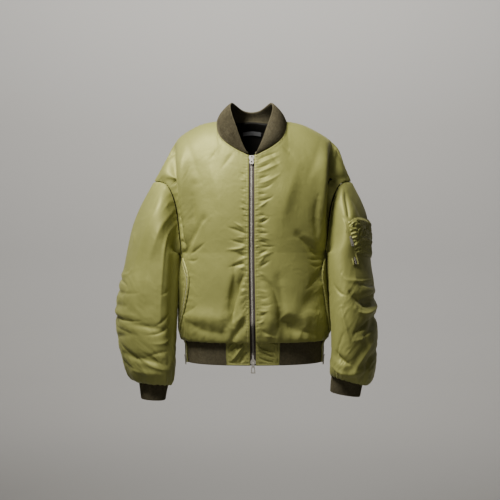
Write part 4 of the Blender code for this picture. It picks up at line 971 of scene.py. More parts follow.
def capsule(half_u, half_v, half_w, sides=5):
    """A small rounded bar along v."""
    points = [(0, -half_v, 0)]
    for v in (-0.62, 0.62):
        for k in range(sides):
            angle = 2 * math.pi * k / sides
            points.append((half_u * math.cos(angle), half_v * v, half_w * math.sin(angle)))
    points.append((0, half_v, 0))
    faces = []
    for k in range(sides):
        n = (k + 1) % sides
        faces.append((0, 1 + k, 1 + n))
        faces.append((1 + k, 1 + sides + k, 1 + sides + n, 1 + n))
        faces.append((1 + 2 * sides, 1 + sides + n, 1 + sides + k))
    return np.array(points), faces


STITCH = {"pitch": 0.0034, "half_width": 0.00034, "half_length": 0.0014, "half_height": 0.00028}


def topstitch(name, lines, finish):
    """Rows of stitches along lines of points and normals, as one mesh."""
    template, faces = capsule(STITCH["half_width"], STITCH["half_length"], STITCH["half_height"])
    placed = [along_line(points, normal, STITCH["pitch"]) for points, normal in lines]
    origins, frames = (np.vstack(part) for part in zip(*placed))
    return stamp(name, template, faces, origins, frames, finish)


# ---------------------------------------------------------------- creases, given one by one

# On a front or the back, by distance from the jacket's middle and by height.
FRONT_CREASES = {
    LEFT: table(
        CREASE_COLUMNS,
        ("armhole_valley", 0.2520, -0.050, 0.2480, -0.130, 0.2400, -0.220, 0.0070, -0.0080, 0.3, 0.0),
        ("armhole_shade", 0.2400, -0.020, 0.2430, -0.150, 0.2370, -0.290, 0.0260, -0.0210, 0.2, -0.8),
        ("armhole_ridge", 0.2120, -0.080, 0.2060, -0.170, 0.1900, -0.260, 0.0150, 0.0050, 0.0, 0.0),
        ("side_pull_1", 0.1180, -0.311, 0.1490, -0.327, 0.1880, -0.357, 0.0055, -0.0018, 0.4, 0.0),
        ("side_pull_ridge", 0.1300, -0.303, 0.1600, -0.317, 0.1950, -0.343, 0.0070, 0.0012, 0.4, 0.0),
        ("side_pull_2", 0.1600, -0.346, 0.1750, -0.356, 0.1930, -0.362, 0.0045, -0.0035, 0.6, 0.0),
        ("side_pull_3", 0.1560, -0.372, 0.1750, -0.374, 0.1950, -0.372, 0.0045, -0.0030, 0.6, 0.0),
        ("side_pull_4", 0.1620, -0.388, 0.1780, -0.392, 0.1960, -0.388, 0.0045, -0.0030, 0.6, 0.0),
        ("side_dent", 0.1560, -0.452, 0.1770, -0.431, 0.1960, -0.400, 0.0110, -0.0060, 0.4, 0.4),
        ("side_dent_ridge", 0.1700, -0.470, 0.1880, -0.450, 0.2020, -0.425, 0.0090, 0.0030, 0.3, 0.0),
        ("chest_fall", 0.1250, -0.115, 0.1000, -0.180, 0.0800, -0.260, 0.0230, 0.0030, 0.1, 0.4),
        ("shoulder_fall", 0.1900, -0.040, 0.1750, -0.090, 0.1520, -0.150, 0.0180, -0.0025, 0.1, 0.4),
        ("neck_pull_1", 0.0500, -0.082, 0.0620, -0.100, 0.0780, -0.125, 0.0070, -0.0018, 0.5, 0.0),
        ("neck_pull_2", 0.0820, -0.058, 0.0980, -0.075, 0.1160, -0.094, 0.0070, -0.0018, 0.5, 0.0),
        ("side_fall", 0.1800, -0.200, 0.1720, -0.260, 0.1780, -0.330, 0.0120, -0.0035, 0.3, 0.5),
        ("ray_1", 0.0133, -0.1054, 0.0415, -0.0920, 0.0710, -0.0812, 0.0046, -0.0022, 0.6, 0.3),
        ("ray_1_ridge", 0.0137, -0.1157, 0.0406, -0.1049, 0.0755, -0.0888, 0.0054, 0.0019, 0.5, 0.0),
        ("ray_2", 0.0133, -0.1255, 0.0334, -0.1215, 0.0522, -0.1121, 0.0046, -0.0024, 0.6, 0.3),
        ("ray_3", 0.0137, -0.1385, 0.0406, -0.1291, 0.0782, -0.1103, 0.0054, 0.0024, 0.5, 0.0),
        ("ray_4", 0.0146, -0.1537, 0.0307, -0.1524, 0.0468, -0.1457, 0.0046, -0.0024, 0.6, 0.3),
        ("ray_5", 0.0165, -0.1668, 0.0434, -0.1615, 0.0756, -0.1427, 0.0059, 0.0026, 0.5, 0.0),
        ("ray_6", 0.0146, -0.1806, 0.0361, -0.1793, 0.0576, -0.1672, 0.0046, -0.0020, 0.6, 0.0),
        ("pull_1", 0.0145, -0.1961, 0.0252, -0.1977, 0.0386, -0.1966, 0.0043, -0.0024, 0.6, 0.3),
        ("pull_2", 0.0146, -0.2145, 0.0361, -0.2145, 0.0562, -0.2048, 0.0046, -0.0029, 0.6, 0.3),
        ("pull_3", 0.0133, -0.2335, 0.0294, -0.2268, 0.0455, -0.2134, 0.0040, 0.0023, 0.6, 0.0),
        ("pull_4", 0.0171, -0.2517, 0.0306, -0.2557, 0.0467, -0.2584, 0.0043, -0.0022, 0.6, 0.3),
        ("pull_5", 0.0145, -0.2740, 0.0306, -0.2732, 0.0467, -0.2624, 0.0043, -0.0028, 0.6, 0.3),
        ("pull_6", 0.0132, -0.2638, 0.0266, -0.2630, 0.0401, -0.2539, 0.0038, 0.0017, 0.6, 0.0),
        ("pull_7", 0.0145, -0.2858, 0.0252, -0.2879, 0.0373, -0.2906, 0.0043, -0.0023, 0.6, 0.3),
        ("pull_8", 0.0145, -0.3003, 0.0279, -0.3035, 0.0440, -0.3033, 0.0043, -0.0028, 0.6, 0.3),
        ("pull_9", 0.0134, -0.3109, 0.0295, -0.3142, 0.0483, -0.3206, 0.0043, 0.0019, 0.6, 0.0),
        ("pull_10", 0.0145, -0.3218, 0.0279, -0.3266, 0.0440, -0.3320, 0.0043, -0.0028, 0.6, 0.3),
        ("pull_11", 0.0227, -0.3364, 0.0415, -0.3402, 0.0603, -0.3391, 0.0046, -0.0025, 0.6, 0.3),
        ("pull_12", 0.0162, -0.3707, 0.0350, -0.3616, 0.0565, -0.3532, 0.0049, 0.0026, 0.6, 0.0),
        ("pull_13", 0.0171, -0.3605, 0.0306, -0.3540, 0.0440, -0.3470, 0.0043, -0.0022, 0.6, 0.0),
        ("pull_14", 0.0133, -0.3826, 0.0240, -0.3775, 0.0348, -0.3665, 0.0040, 0.0022, 0.6, 0.0),
        ("pull_15", 0.0173, -0.3941, 0.0307, -0.3885, 0.0495, -0.3767, 0.0046, -0.0026, 0.6, 0.0),
        ("pull_16", 0.0122, -0.4070, 0.0243, -0.4110, 0.0404, -0.4217, 0.0049, 0.0023, 0.6, 0.0),
        ("bulge_arch", 0.0175, -0.4259, 0.0577, -0.4474, 0.0739, -0.5065, 0.0092, -0.0036, 0.3, -0.5),
        ("bulge_arch_low", 0.0739, -0.4904, 0.0792, -0.5306, 0.0685, -0.5736, 0.0092, -0.0034, 0.3, -0.5),
        ("bulge_roll", 0.0309, -0.4501, 0.0470, -0.4984, 0.0470, -0.5736, 0.0162, 0.0050, 0.0, 0.0),
        ("bulge_1", 0.0135, -0.5077, 0.0297, -0.5131, 0.0458, -0.5104, 0.0049, 0.0024, 0.5, 0.0),
        ("bulge_2", 0.0146, -0.5244, 0.0253, -0.5244, 0.0415, -0.5164, 0.0046, -0.0026, 0.5, 0.0),
        ("bulge_3", 0.0135, -0.5453, 0.0243, -0.5426, 0.0350, -0.5332, 0.0049, 0.0026, 0.6, 0.0),
        ("bulge_4", 0.0174, -0.4735, 0.0309, -0.4789, 0.0470, -0.4735, 0.0049, -0.0020, 0.5, 0.0),
        ("bulge_5", 0.0134, -0.4592, 0.0295, -0.4592, 0.0456, -0.4646, 0.0043, 0.0015, 0.5, 0.0),
        ("bulge_6", 0.0200, -0.4935, 0.0361, -0.4976, 0.0549, -0.4922, 0.0046, -0.0018, 0.5, 0.0),
        ("bulge_7", 0.0231, -0.5623, 0.0419, -0.5731, 0.0634, -0.5811, 0.0054, -0.0028, 0.6, 0.3),
        ("bulge_8", 0.0295, -0.5801, 0.0483, -0.5801, 0.0698, -0.5854, 0.0043, 0.0020, 0.6, 0.0),
        ("hem_shadow", 0.0792, -0.5280, 0.1064, -0.5501, 0.1421, -0.5726, 0.0216, -0.0180, 0.2, 0.0),
        ("hem_shadow_far", 0.1311, -0.5669, 0.1642, -0.5732, 0.1975, -0.5768, 0.0108, -0.0040, 0.2, 0.4),
    ),
    RIGHT: table(
        CREASE_COLUMNS,
        ("armhole_valley", 0.2160, 0.010, 0.2220, -0.150, 0.1860, -0.330, 0.0130, -0.0210, 0.1, 0.6),
        ("armhole_ridge", 0.1900, -0.085, 0.1920, -0.170, 0.1880, -0.250, 0.0140, 0.0045, 0.0, 0.0),
        ("crinkle_1", 0.2120, -0.222, 0.2020, -0.236, 0.1880, -0.250, 0.0042, -0.0042, 0.7, 0.3),
        ("crinkle_2", 0.2130, -0.240, 0.2030, -0.256, 0.1900, -0.272, 0.0042, -0.0042, 0.7, 0.3),
        ("crinkle_3", 0.2110, -0.262, 0.2020, -0.276, 0.1860, -0.288, 0.0042, -0.0042, 0.7, 0.3),
        ("crinkle_4", 0.2080, -0.286, 0.2000, -0.300, 0.1880, -0.312, 0.0042, -0.0040, 0.7, 0.3),
        ("crinkle_5", 0.2040, -0.312, 0.1960, -0.324, 0.1840, -0.332, 0.0042, -0.0035, 0.7, 0.3),
        ("crinkle_ridge", 0.1960, -0.200, 0.1840, -0.260, 0.1800, -0.330, 0.0100, 0.0038, 0.3, 0.0),
        ("side_ridge", 0.1120, -0.258, 0.1480, -0.300, 0.1640, -0.360, 0.0090, 0.0026, 0.5, -0.4),
        ("side_fall", 0.1620, -0.200, 0.1560, -0.280, 0.1640, -0.350, 0.0110, -0.0030, 0.4, 0.4),
        ("side_pull_1", 0.1280, -0.330, 0.1480, -0.346, 0.1700, -0.362, 0.0050, -0.0030, 0.6, 0.0),
        ("side_pull_2", 0.1460, -0.372, 0.1600, -0.378, 0.1760, -0.376, 0.0045, -0.0026, 0.6, 0.0),
        ("corner_1", 0.1500, -0.500, 0.1700, -0.515, 0.1880, -0.522, 0.0070, -0.0030, 0.5, 0.0),
        ("chest_fall", 0.1180, -0.105, 0.0920, -0.175, 0.0800, -0.250, 0.0220, 0.0030, 0.1, 0.4),
        ("shoulder_fall", 0.1750, -0.050, 0.1600, -0.100, 0.1360, -0.160, 0.0170, -0.0028, 0.2, 0.4),
        ("neck_pull_1", 0.0500, -0.082, 0.0640, -0.102, 0.0820, -0.126, 0.0070, -0.0018, 0.5, 0.0),
        ("neck_pull_2", 0.0800, -0.058, 0.0950, -0.078, 0.1140, -0.100, 0.0070, -0.0020, 0.5, 0.0),
        ("pull_1", 0.0079, -0.1314, 0.0127, -0.1293, 0.0208, -0.1247, 0.0038, -0.0018, 0.6, 0.0),
        ("pull_2", 0.0077, -0.1508, 0.0179, -0.1455, 0.0300, -0.1388, 0.0040, -0.0023, 0.6, 0.3),
        ("pull_3", 0.0083, -0.1615, 0.0190, -0.1601, 0.0298, -0.1582, 0.0038, 0.0016, 0.6, 0.0),
        ("pull_4", 0.0072, -0.1858, 0.0179, -0.1850, 0.0287, -0.1831, 0.0040, -0.0021, 0.6, 0.3),
        ("pull_4b", 0.0073, -0.2018, 0.0154, -0.2004, 0.0261, -0.1969, 0.0038, -0.0016, 0.6, 0.3),
        ("pull_5", 0.0088, -0.2227, 0.0163, -0.2173, 0.0271, -0.2109, 0.0038, 0.0020, 0.6, 0.0),
        ("pull_6", 0.0064, -0.2298, 0.0179, -0.2255, 0.0287, -0.2196, 0.0040, -0.0025, 0.6, 0.3),
        ("pull_7", 0.0084, -0.2361, 0.0191, -0.2344, 0.0298, -0.2323, 0.0035, 0.0016, 0.6, 0.0),
        ("pull_8", 0.0072, -0.2449, 0.0152, -0.2422, 0.0273, -0.2389, 0.0040, -0.0023, 0.6, 0.3),
        ("pull_9", 0.0073, -0.2625, 0.0154, -0.2598, 0.0234, -0.2555, 0.0038, -0.0018, 0.6, 0.3),
        ("pull_9b", 0.0073, -0.2759, 0.0154, -0.2732, 0.0248, -0.2673, 0.0038, -0.0018, 0.6, 0.3),
        ("pull_10", 0.0073, -0.3018, 0.0221, -0.2894, 0.0444, -0.2752, 0.0043, 0.0030, 0.6, 0.0),
        ("pull_11", 0.0091, -0.3082, 0.0325, -0.2980, 0.0615, -0.2884, 0.0054, -0.0034, 0.5, 0.3),
        ("pull_12", 0.0081, -0.3185, 0.0242, -0.3147, 0.0403, -0.3142, 0.0043, 0.0020, 0.5, 0.0),
        ("pull_13", 0.0071, -0.3312, 0.0267, -0.3304, 0.0563, -0.3216, 0.0051, -0.0030, 0.5, 0.3),
        ("pull_14", 0.0083, -0.3354, 0.0333, -0.3445, 0.0655, -0.3467, 0.0054, 0.0034, 0.5, 0.0),
        ("pull_15", 0.0053, -0.3568, 0.0196, -0.3649, 0.0397, -0.3544, 0.0059, -0.0042, 0.5, 0.3),
        ("pull_16", 0.0054, -0.3811, 0.0269, -0.3865, 0.0591, -0.3943, 0.0049, -0.0034, 0.6, 0.3),
        ("pull_17", 0.0080, -0.3707, 0.0241, -0.3728, 0.0429, -0.3801, 0.0049, 0.0022, 0.5, 0.0),
        ("pull_18", 0.0074, -0.3933, 0.0203, -0.3941, 0.0324, -0.3984, 0.0040, 0.0016, 0.5, 0.0),
        ("crescent", 0.0016, -0.4103, 0.0392, -0.4519, 0.0502, -0.5513, 0.0113, -0.0125, 0.4, 0.0),
        ("crescent_ridge", 0.0111, -0.3940, 0.0514, -0.4155, 0.0622, -0.4853, 0.0122, 0.0030, 0.2, 0.0),
        ("crinkle_a", 0.0084, -0.4375, 0.0218, -0.4402, 0.0339, -0.4440, 0.0035, 0.0015, 0.5, 0.0),
        ("crinkle_b", 0.0075, -0.4461, 0.0209, -0.4499, 0.0330, -0.4531, 0.0035, -0.0017, 0.5, 0.0),
        ("crinkle_c", 0.0084, -0.4563, 0.0218, -0.4590, 0.0352, -0.4628, 0.0035, 0.0015, 0.5, 0.0),
        ("crinkle_d", 0.0102, -0.4676, 0.0236, -0.4703, 0.0357, -0.4730, 0.0035, -0.0017, 0.5, 0.0),
        ("diagonal_1", 0.0033, -0.4666, 0.0097, -0.4760, 0.0194, -0.4867, 0.0043, -0.0026, 0.6, 0.0),
        ("diagonal_2", 0.0050, -0.4763, 0.0136, -0.4871, 0.0216, -0.4967, 0.0040, 0.0022, 0.6, 0.0),
        ("diagonal_3", 0.0031, -0.4857, 0.0096, -0.4949, 0.0214, -0.5083, 0.0046, -0.0030, 0.6, 0.0),
        ("diagonal_4", 0.0050, -0.4951, 0.0125, -0.5048, 0.0216, -0.5139, 0.0040, 0.0022, 0.6, 0.0),
        ("diagonal_5", 0.0031, -0.5045, 0.0096, -0.5126, 0.0203, -0.5217, 0.0046, -0.0028, 0.6, 0.0),
        ("big_diagonal_ridge", 0.0087, -0.5147, 0.0342, -0.5348, 0.0665, -0.5644, 0.0113, 0.0036, 0.3, 0.0),
        ("big_diagonal", 0.0013, -0.5248, 0.0228, -0.5490, 0.0550, -0.5974, 0.0124, -0.0100, 0.3, 0.2),
        ("beside_zip", 0.0046, -0.5485, 0.0138, -0.5646, 0.0180, -0.5915, 0.0070, 0.0030, 0.3, 0.0),
        ("hem_shadow", 0.0685, -0.5709, 0.1256, -0.5668, 0.1669, -0.5461, 0.0108, -0.0026, 0.2, 0.0),
    ),
}
BACK_CREASES = table(
    CREASE_COLUMNS,
    ("left_armhole_1", 0.2300, -0.150, 0.2120, -0.200, 0.1900, -0.235, 0.0070, -0.0045, 0.5, 0.4),
    ("left_armhole_2", 0.2250, -0.210, 0.2050, -0.250, 0.1780, -0.275, 0.0065, -0.0045, 0.5, 0.4),
    ("left_armhole_3", 0.2200, -0.270, 0.1980, -0.300, 0.1700, -0.315, 0.0060, -0.0038, 0.5, 0.4),
    ("right_armhole_1", -0.2250, -0.140, -0.2080, -0.190, -0.1840, -0.230, 0.0070, -0.0045, 0.5, -0.4),
    ("right_armhole_2", -0.2200, -0.205, -0.1980, -0.245, -0.1700, -0.265, 0.0065, -0.0045, 0.5, -0.4),
    ("right_armhole_3", -0.2120, -0.265, -0.1920, -0.292, -0.1640, -0.312, 0.0060, -0.0038, 0.5, -0.4),
    ("blade_left", 0.0900, -0.110, 0.1050, -0.210, 0.0950, -0.320, 0.0200, 0.0035, 0.1, 0.3),
    ("blade_right", -0.0950, -0.120, -0.1050, -0.210, -0.0900, -0.310, 0.0200, 0.0035, 0.1, -0.3),
    ("spine_dip", 0.0050, -0.150, -0.0040, -0.260, 0.0060, -0.380, 0.0260, -0.0030, 0.0, 0.0),
    ("waist_1", -0.1500, -0.450, -0.0800, -0.480, -0.0100, -0.470, 0.0110, -0.0055, 0.5, 0.4),
    ("waist_2", 0.0150, -0.500, 0.0850, -0.490, 0.1500, -0.455, 0.0110, -0.0055, 0.5, 0.4),
    ("waist_3", -0.1200, -0.520, -0.0500, -0.540, 0.0200, -0.532, 0.0090, -0.0045, 0.5, 0.3),
    ("waist_4", 0.0500, -0.545, 0.1050, -0.535, 0.1650, -0.510, 0.0090, -0.0045, 0.5, 0.3),
    ("waist_ridge_1", -0.1300, -0.470, -0.0700, -0.505, 0.0000, -0.500, 0.0120, 0.0035, 0.2, 0.0),
    ("waist_ridge_2", 0.0300, -0.522, 0.0900, -0.514, 0.1550, -0.482, 0.0120, 0.0035, 0.2, 0.0),
    ("side_left", 0.1900, -0.380, 0.1600, -0.420, 0.1250, -0.435, 0.0080, -0.0040, 0.5, 0.0),
    ("side_right", -0.1850, -0.370, -0.1550, -0.400, -0.1200, -0.420, 0.0080, -0.0040, 0.5, 0.0),
    ("neck_fall_left", 0.0550, -0.030, 0.0700, -0.070, 0.0800, -0.120, 0.0120, -0.0020, 0.2, 0.0),
    ("neck_fall_right", -0.0600, -0.030, -0.0720, -0.070, -0.0780, -0.110, 0.0120, -0.0020, 0.2, 0.0),
)
# On a sleeve, by angle in degrees from the outer edge through the front, and by height.
SLEEVE_CREASES = {
    LEFT: table(
        CREASE_COLUMNS,
        ("front_edge", 50, -0.175, 74, -0.235, 98, -0.310, 0.0070, 0.0010, 0.4, 0.0),
        ("front_valley", 34, -0.160, 60, -0.222, 86, -0.305, 0.0065, -0.0062, 0.5, 0.0),
        ("under_pocket", 122, -0.416, 96, -0.430, 30, -0.424, 0.0080, 0.0034, 0.4, 0.4),
        ("hollow_1", 102, -0.462, 70, -0.486, 22, -0.468, 0.0135, -0.0150, 0.4, 0.3),
        ("hollow_1_lip", 94, -0.504, 66, -0.522, 8, -0.494, 0.0085, 0.0080, 0.6, -0.5),
        ("hollow_2", 98, -0.572, 72, -0.552, 12, -0.530, 0.0125, -0.0140, 0.5, 0.3),
        ("hollow_2_lip", 100, -0.592, 66, -0.582, 20, -0.558, 0.0085, 0.0050, 0.5, 0.0),
        ("facet_1", 48, -0.598, 76, -0.637, 92, -0.680, 0.0085, 0.0055, 0.7, 0.6),
        ("facet_1_dip", 30, -0.615, 55, -0.652, 74, -0.690, 0.0110, -0.0055, 0.4, 0.0),
        ("facet_2", 118, -0.565, 138, -0.606, 146, -0.655, 0.0080, -0.0045, 0.6, 0.4),
        ("facet_3", 128, -0.500, 120, -0.550, 108, -0.595, 0.0080, 0.0040, 0.6, 0.0),
        ("lower_1", 150, -0.620, 128, -0.640, 100, -0.655, 0.0065, -0.0045, 0.6, 0.4),
        ("lower_2", 20, -0.655, 50, -0.668, 66, -0.690, 0.0065, -0.0045, 0.6, 0.0),
        ("lower_3", 160, -0.662, 130, -0.676, 96, -0.684, 0.0060, 0.0040, 0.6, 0.0),
        ("inner_1", 150, -0.440, 132, -0.462, 112, -0.470, 0.0060, -0.0030, 0.6, 0.0),
        ("outer_1", -30, -0.470, -5, -0.478, 20, -0.470, 0.0070, -0.0055, 0.6, 0.0),
        ("outer_2", -40, -0.540, -10, -0.535, 20, -0.548, 0.0070, -0.0055, 0.6, 0.0),
        ("outer_3", -40, -0.600, -10, -0.610, 25, -0.600, 0.0070, -0.0045, 0.6, 0.0),
        ("back_1", 200, -0.430, 255, -0.455, 320, -0.440, 0.0110, -0.0075, 0.5, 0.4),
        ("back_2", 205, -0.500, 260, -0.480, 325, -0.505, 0.0110, -0.0070, 0.5, -0.4),
        ("back_3", 200, -0.545, 255, -0.570, 320, -0.560, 0.0100, -0.0065, 0.5, 0.4),
        ("back_4", 205, -0.620, 260, -0.605, 325, -0.625, 0.0090, -0.0060, 0.5, 0.0),
        ("back_5", 200, -0.660, 250, -0.672, 310, -0.660, 0.0080, -0.0050, 0.5, 0.0),
        ("back_ridge", 262, -0.220, 268, -0.340, 262, -0.440, 0.0120, 0.0035, 0.3, 0.0),
        ("cap_1", 40, -0.190, 36, -0.235, 30, -0.290, 0.0100, -0.0024, 0.3, 0.0),
    ),
    RIGHT: table(
        CREASE_COLUMNS,
        ("front_edge", 99, -0.185, 95, -0.335, 93, -0.560, 0.0130, 0.0060, 0.5, -0.2),
        ("inner_edge", 121, -0.200, 121, -0.330, 122, -0.540, 0.0075, 0.0070, 0.6, 0.0),
        ("front_dip", 126, -0.200, 124, -0.340, 122, -0.500, 0.0120, -0.0020, 0.1, 0.0),
        ("cap_1", 70, -0.178, 74, -0.205, 78, -0.240, 0.0050, 0.0028, 0.6, 0.0),
        ("cap_2", 45, -0.190, 50, -0.215, 58, -0.250, 0.0050, -0.0020, 0.5, 0.0),
        ("outer_tuck", 22, -0.300, 34, -0.312, 44, -0.332, 0.0055, 0.0036, 0.6, 0.0),
        ("notch", -20, -0.428, 36, -0.437, 56, -0.455, 0.0060, -0.0070, 0.7, 0.5),
        ("notch_ridge", -10, -0.412, 40, -0.418, 58, -0.402, 0.0080, 0.0040, 0.4, 0.0),
        ("notch_under", 30, -0.462, 58, -0.468, 84, -0.464, 0.0060, -0.0025, 0.5, 0.0),
        ("second", -15, -0.526, 44, -0.541, 86, -0.542, 0.0065, -0.0065, 0.7, 0.5),
        ("second_ridge", -15, -0.512, 40, -0.524, 80, -0.526, 0.0090, 0.0034, 0.3, 0.0),
        ("third", 5, -0.560, 40, -0.566, 78, -0.580, 0.0065, -0.0035, 0.5, 0.0),
        ("inner_1", 112, -0.554, 130, -0.540, 148, -0.522, 0.0060, -0.0045, 0.6, 0.4),
        ("inner_2", 96, -0.578, 122, -0.572, 150, -0.553, 0.0060, -0.0045, 0.6, 0.4),
        ("inner_3", 104, -0.600, 128, -0.600, 152, -0.590, 0.0060, 0.0035, 0.6, 0.0),
        ("inner_4", 122, -0.470, 138, -0.462, 154, -0.448, 0.0060, -0.0030, 0.6, 0.0),
        ("lower_1", 70, -0.628, 98, -0.661, 138, -0.674, 0.0075, 0.0046, 0.6, 0.5),
        ("lower_1_dip", 84, -0.620, 110, -0.648, 140, -0.660, 0.0080, -0.0045, 0.4, 0.0),
        ("lower_2", 30, -0.602, 56, -0.630, 84, -0.652, 0.0075, -0.0046, 0.6, 0.4),
        ("lower_3", 10, -0.640, 44, -0.664, 78, -0.676, 0.0070, -0.0040, 0.6, 0.0),
        ("lower_4", 90, -0.640, 112, -0.628, 140, -0.622, 0.0060, -0.0036, 0.6, 0.0),
        ("outer_1", -50, -0.470, -20, -0.480, 15, -0.472, 0.0070, -0.0050, 0.6, 0.0),
        ("outer_2", -50, -0.580, -20, -0.590, 15, -0.600, 0.0070, -0.0050, 0.6, 0.0),
        ("back_1", 200, -0.430, 255, -0.455, 320, -0.440, 0.0110, -0.0075, 0.5, 0.4),
        ("back_2", 205, -0.510, 260, -0.488, 325, -0.512, 0.0110, -0.0070, 0.5, -0.4),
        ("back_3", 200, -0.550, 255, -0.575, 320, -0.562, 0.0100, -0.0065, 0.5, 0.4),
        ("back_4", 205, -0.622, 260, -0.607, 325, -0.628, 0.0090, -0.0060, 0.5, 0.0),
        ("back_5", 200, -0.664, 250, -0.675, 310, -0.664, 0.0080, -0.0050, 0.5, 0.0),
        ("back_ridge", 262, -0.220, 268, -0.340, 262, -0.440, 0.0120, 0.0035, 0.3, 0.0),
    ),
}

# ---------------------------------------------------------------- finishes


def new_material(name, colour, roughness, metallic=0.0, **inputs):
    made = bpy.data.materials.new(name)
    made.use_nodes = True
    shader = made.node_tree.nodes["Principled BSDF"]
    shader.inputs["Base Color"].default_value = (*colour, 1)
    shader.inputs["Roughness"].default_value = roughness
    shader.inputs["Metallic"].default_value = metallic
    for key, value in inputs.items():
        shader.inputs[key.replace("_", " ")].default_value = value
    return made, made.node_tree, shader


def add_node(tree, kind, **settings):
    made = tree.nodes.new(kind)
    for key, value in settings.items():
        if key in made.inputs:
            made.inputs[key].default_value = value
        else:
            setattr(made, key, value)
    return made


def vary_colour(tree, shader, coordinate, scale, dark, light, detail=3.0):
    """Base colour that wanders between two shades."""
    grain = add_node(tree, "ShaderNodeTexNoise", Scale=scale, Detail=detail)
    ramp = add_node(tree, "ShaderNodeValToRGB")
    ramp.color_ramp.elements[0].position, ramp.color_ramp.elements[1].position = 0.3, 0.7
    ramp.color_ramp.elements[0].color = (*dark, 1)
    ramp.color_ramp.elements[1].color = (*light, 1)
    tree.links.new(coordinate, grain.inputs["Vector"])
    tree.links.new(grain.outputs["Fac"], ramp.inputs["Fac"])
    tree.links.new(ramp.outputs["Color"], shader.inputs["Base Color"])


def vary_roughness(tree, shader, coordinate, scale, low, high):
    grain = add_node(tree, "ShaderNodeTexNoise", Scale=scale, Detail=4.0)
    spread = add_node(tree, "ShaderNodeMapRange", **{"To Min": low, "To Max": high})
    tree.links.new(coordinate, grain.inputs["Vector"])
    tree.links.new(grain.outputs["Fac"], spread.inputs["Value"])
    tree.links.new(spread.outputs["Result"], shader.inputs["Roughness"])


def add_bumps(tree, shader, layers):
    """Bump layers, each (height output, distance in metres, strength), one over another."""
    last = None
    for height, distance, strength in layers:
        bump = add_node(tree, "ShaderNodeBump", Strength=strength, Distance=distance)
        tree.links.new(height, bump.inputs["Height"])
        if last:
            tree.links.new(last.outputs["Normal"], bump.inputs["Normal"])
        last = bump
    tree.links.new(last.outputs["Normal"], shader.inputs["Normal"])


def cloth_coordinates(tree):
    """The cloth's own coordinates, in metres along and across it."""
    return add_node(tree, "ShaderNodeUVMap", uv_map="cloth").outputs["UV"]


def stripes(tree, coordinate, pitch, direction="X", turn=0.0):
    """Waves this many metres apart. turn leans them, in radians."""
    lean = add_node(tree, "ShaderNodeMapping", vector_type="POINT", Rotation=(0, 0, turn))
    wave = add_node(tree, "ShaderNodeTexWave", bands_direction=direction, Scale=1 / pitch / 3.14)
    wave.inputs["Distortion"].default_value = 0.0
    tree.links.new(coordinate, lean.inputs["Vector"])
    tree.links.new(lean.outputs["Vector"], wave.inputs["Vector"])
    return wave.outputs["Fac"]


def satin(name, colour, light, roughness=0.51, sheen=0.16):
    """Satin-weave nylon: a fine twill line, a soft crinkle and a broad sheen."""
    made, tree, shader = new_material(name, colour, roughness)
    shader.inputs["Specular IOR Level"].default_value = 0.72
    shader.inputs["Specular Tint"].default_value = (*light, 1)
    shader.inputs["Sheen Weight"].default_value = sheen
    shader.inputs["Sheen Roughness"].default_value = 0.35
    shader.inputs["Sheen Tint"].default_value = (*light, 1)
    place = add_node(tree, "ShaderNodeTexCoord").outputs["Object"]
    dark = tuple(0.90 * c for c in colour)
    bright = tuple(min(1.0, 1.10 * c) for c in colour)
    vary_colour(tree, shader, place, 9.0, dark, bright)
    vary_roughness(tree, shader, place, 30.0, roughness - 0.05, roughness + 0.06)
    cloth = cloth_coordinates(tree)
    twill = stripes(tree, cloth, 0.0007, turn=0.9)
    crinkle = add_node(tree, "ShaderNodeTexNoise", Scale=140.0, Detail=5.0, Distortion=0.6)
    tree.links.new(place, crinkle.inputs["Vector"])
    soft = add_node(tree, "ShaderNodeTexNoise", Scale=38.0, Detail=3.0)
    tree.links.new(place, soft.inputs["Vector"])
    layers = [
        (soft.outputs["Fac"], 0.0030, 0.18),
        (crinkle.outputs["Fac"], 0.0008, 0.22),
        (twill, 0.00006, 0.35),
    ]
    add_bumps(tree, shader, layers)
    return made


def knit(name, colour, light):
    """Rib knit: small stitches in rows on the raised ribs, fuzzy and matt."""
    made, tree, shader = new_material(name, colour, 0.92)
    shader.inputs["Specular IOR Level"].default_value = 0.25
    shader.inputs["Sheen Weight"].default_value = 0.35
    shader.inputs["Sheen Roughness"].default_value = 0.6
    shader.inputs["Sheen Tint"].default_value = (*light, 1)
    place = add_node(tree, "ShaderNodeTexCoord").outputs["Object"]
    dark, light = (tuple(factor * c for c in colour) for factor in (0.72, 1.2))
    vary_colour(tree, shader, place, 160.0, dark, light, 5.0)
    cloth = cloth_coordinates(tree)
    rows = stripes(tree, cloth, 0.0017, "Y")
    loops = stripes(tree, cloth, 0.0013, "X", 0.5)
    fuzz = add_node(tree, "ShaderNodeTexNoise", Scale=900.0, Detail=4.0)
    tree.links.new(place, fuzz.inputs["Vector"])
    layers = [(rows, 0.0003, 0.5), (loops, 0.0002, 0.35), (fuzz.outputs["Fac"], 0.0003, 0.5)]
    add_bumps(tree, shader, layers)
    return made


def woven(name, colour, pitch, roughness, spread=0.18):
    """A plain woven cloth, such as a tape, a lining or a label."""
    made, tree, shader = new_material(name, colour, roughness)
    shader.inputs["Sheen Weight"].default_value = 0.15
    place = add_node(tree, "ShaderNodeTexCoord").outputs["Object"]
    dark = tuple((1 - spread) * c for c in colour)
    vary_colour(tree, shader, place, 220.0, dark, tuple((1 + spread) * c for c in colour))
    cloth = cloth_coordinates(tree)
    warp, weft = stripes(tree, cloth, pitch, "X"), stripes(tree, cloth, pitch * 1.3, "Y")
    add_bumps(tree, shader, [(warp, 0.00012, 0.5), (weft, 0.00012, 0.5)])
    return made


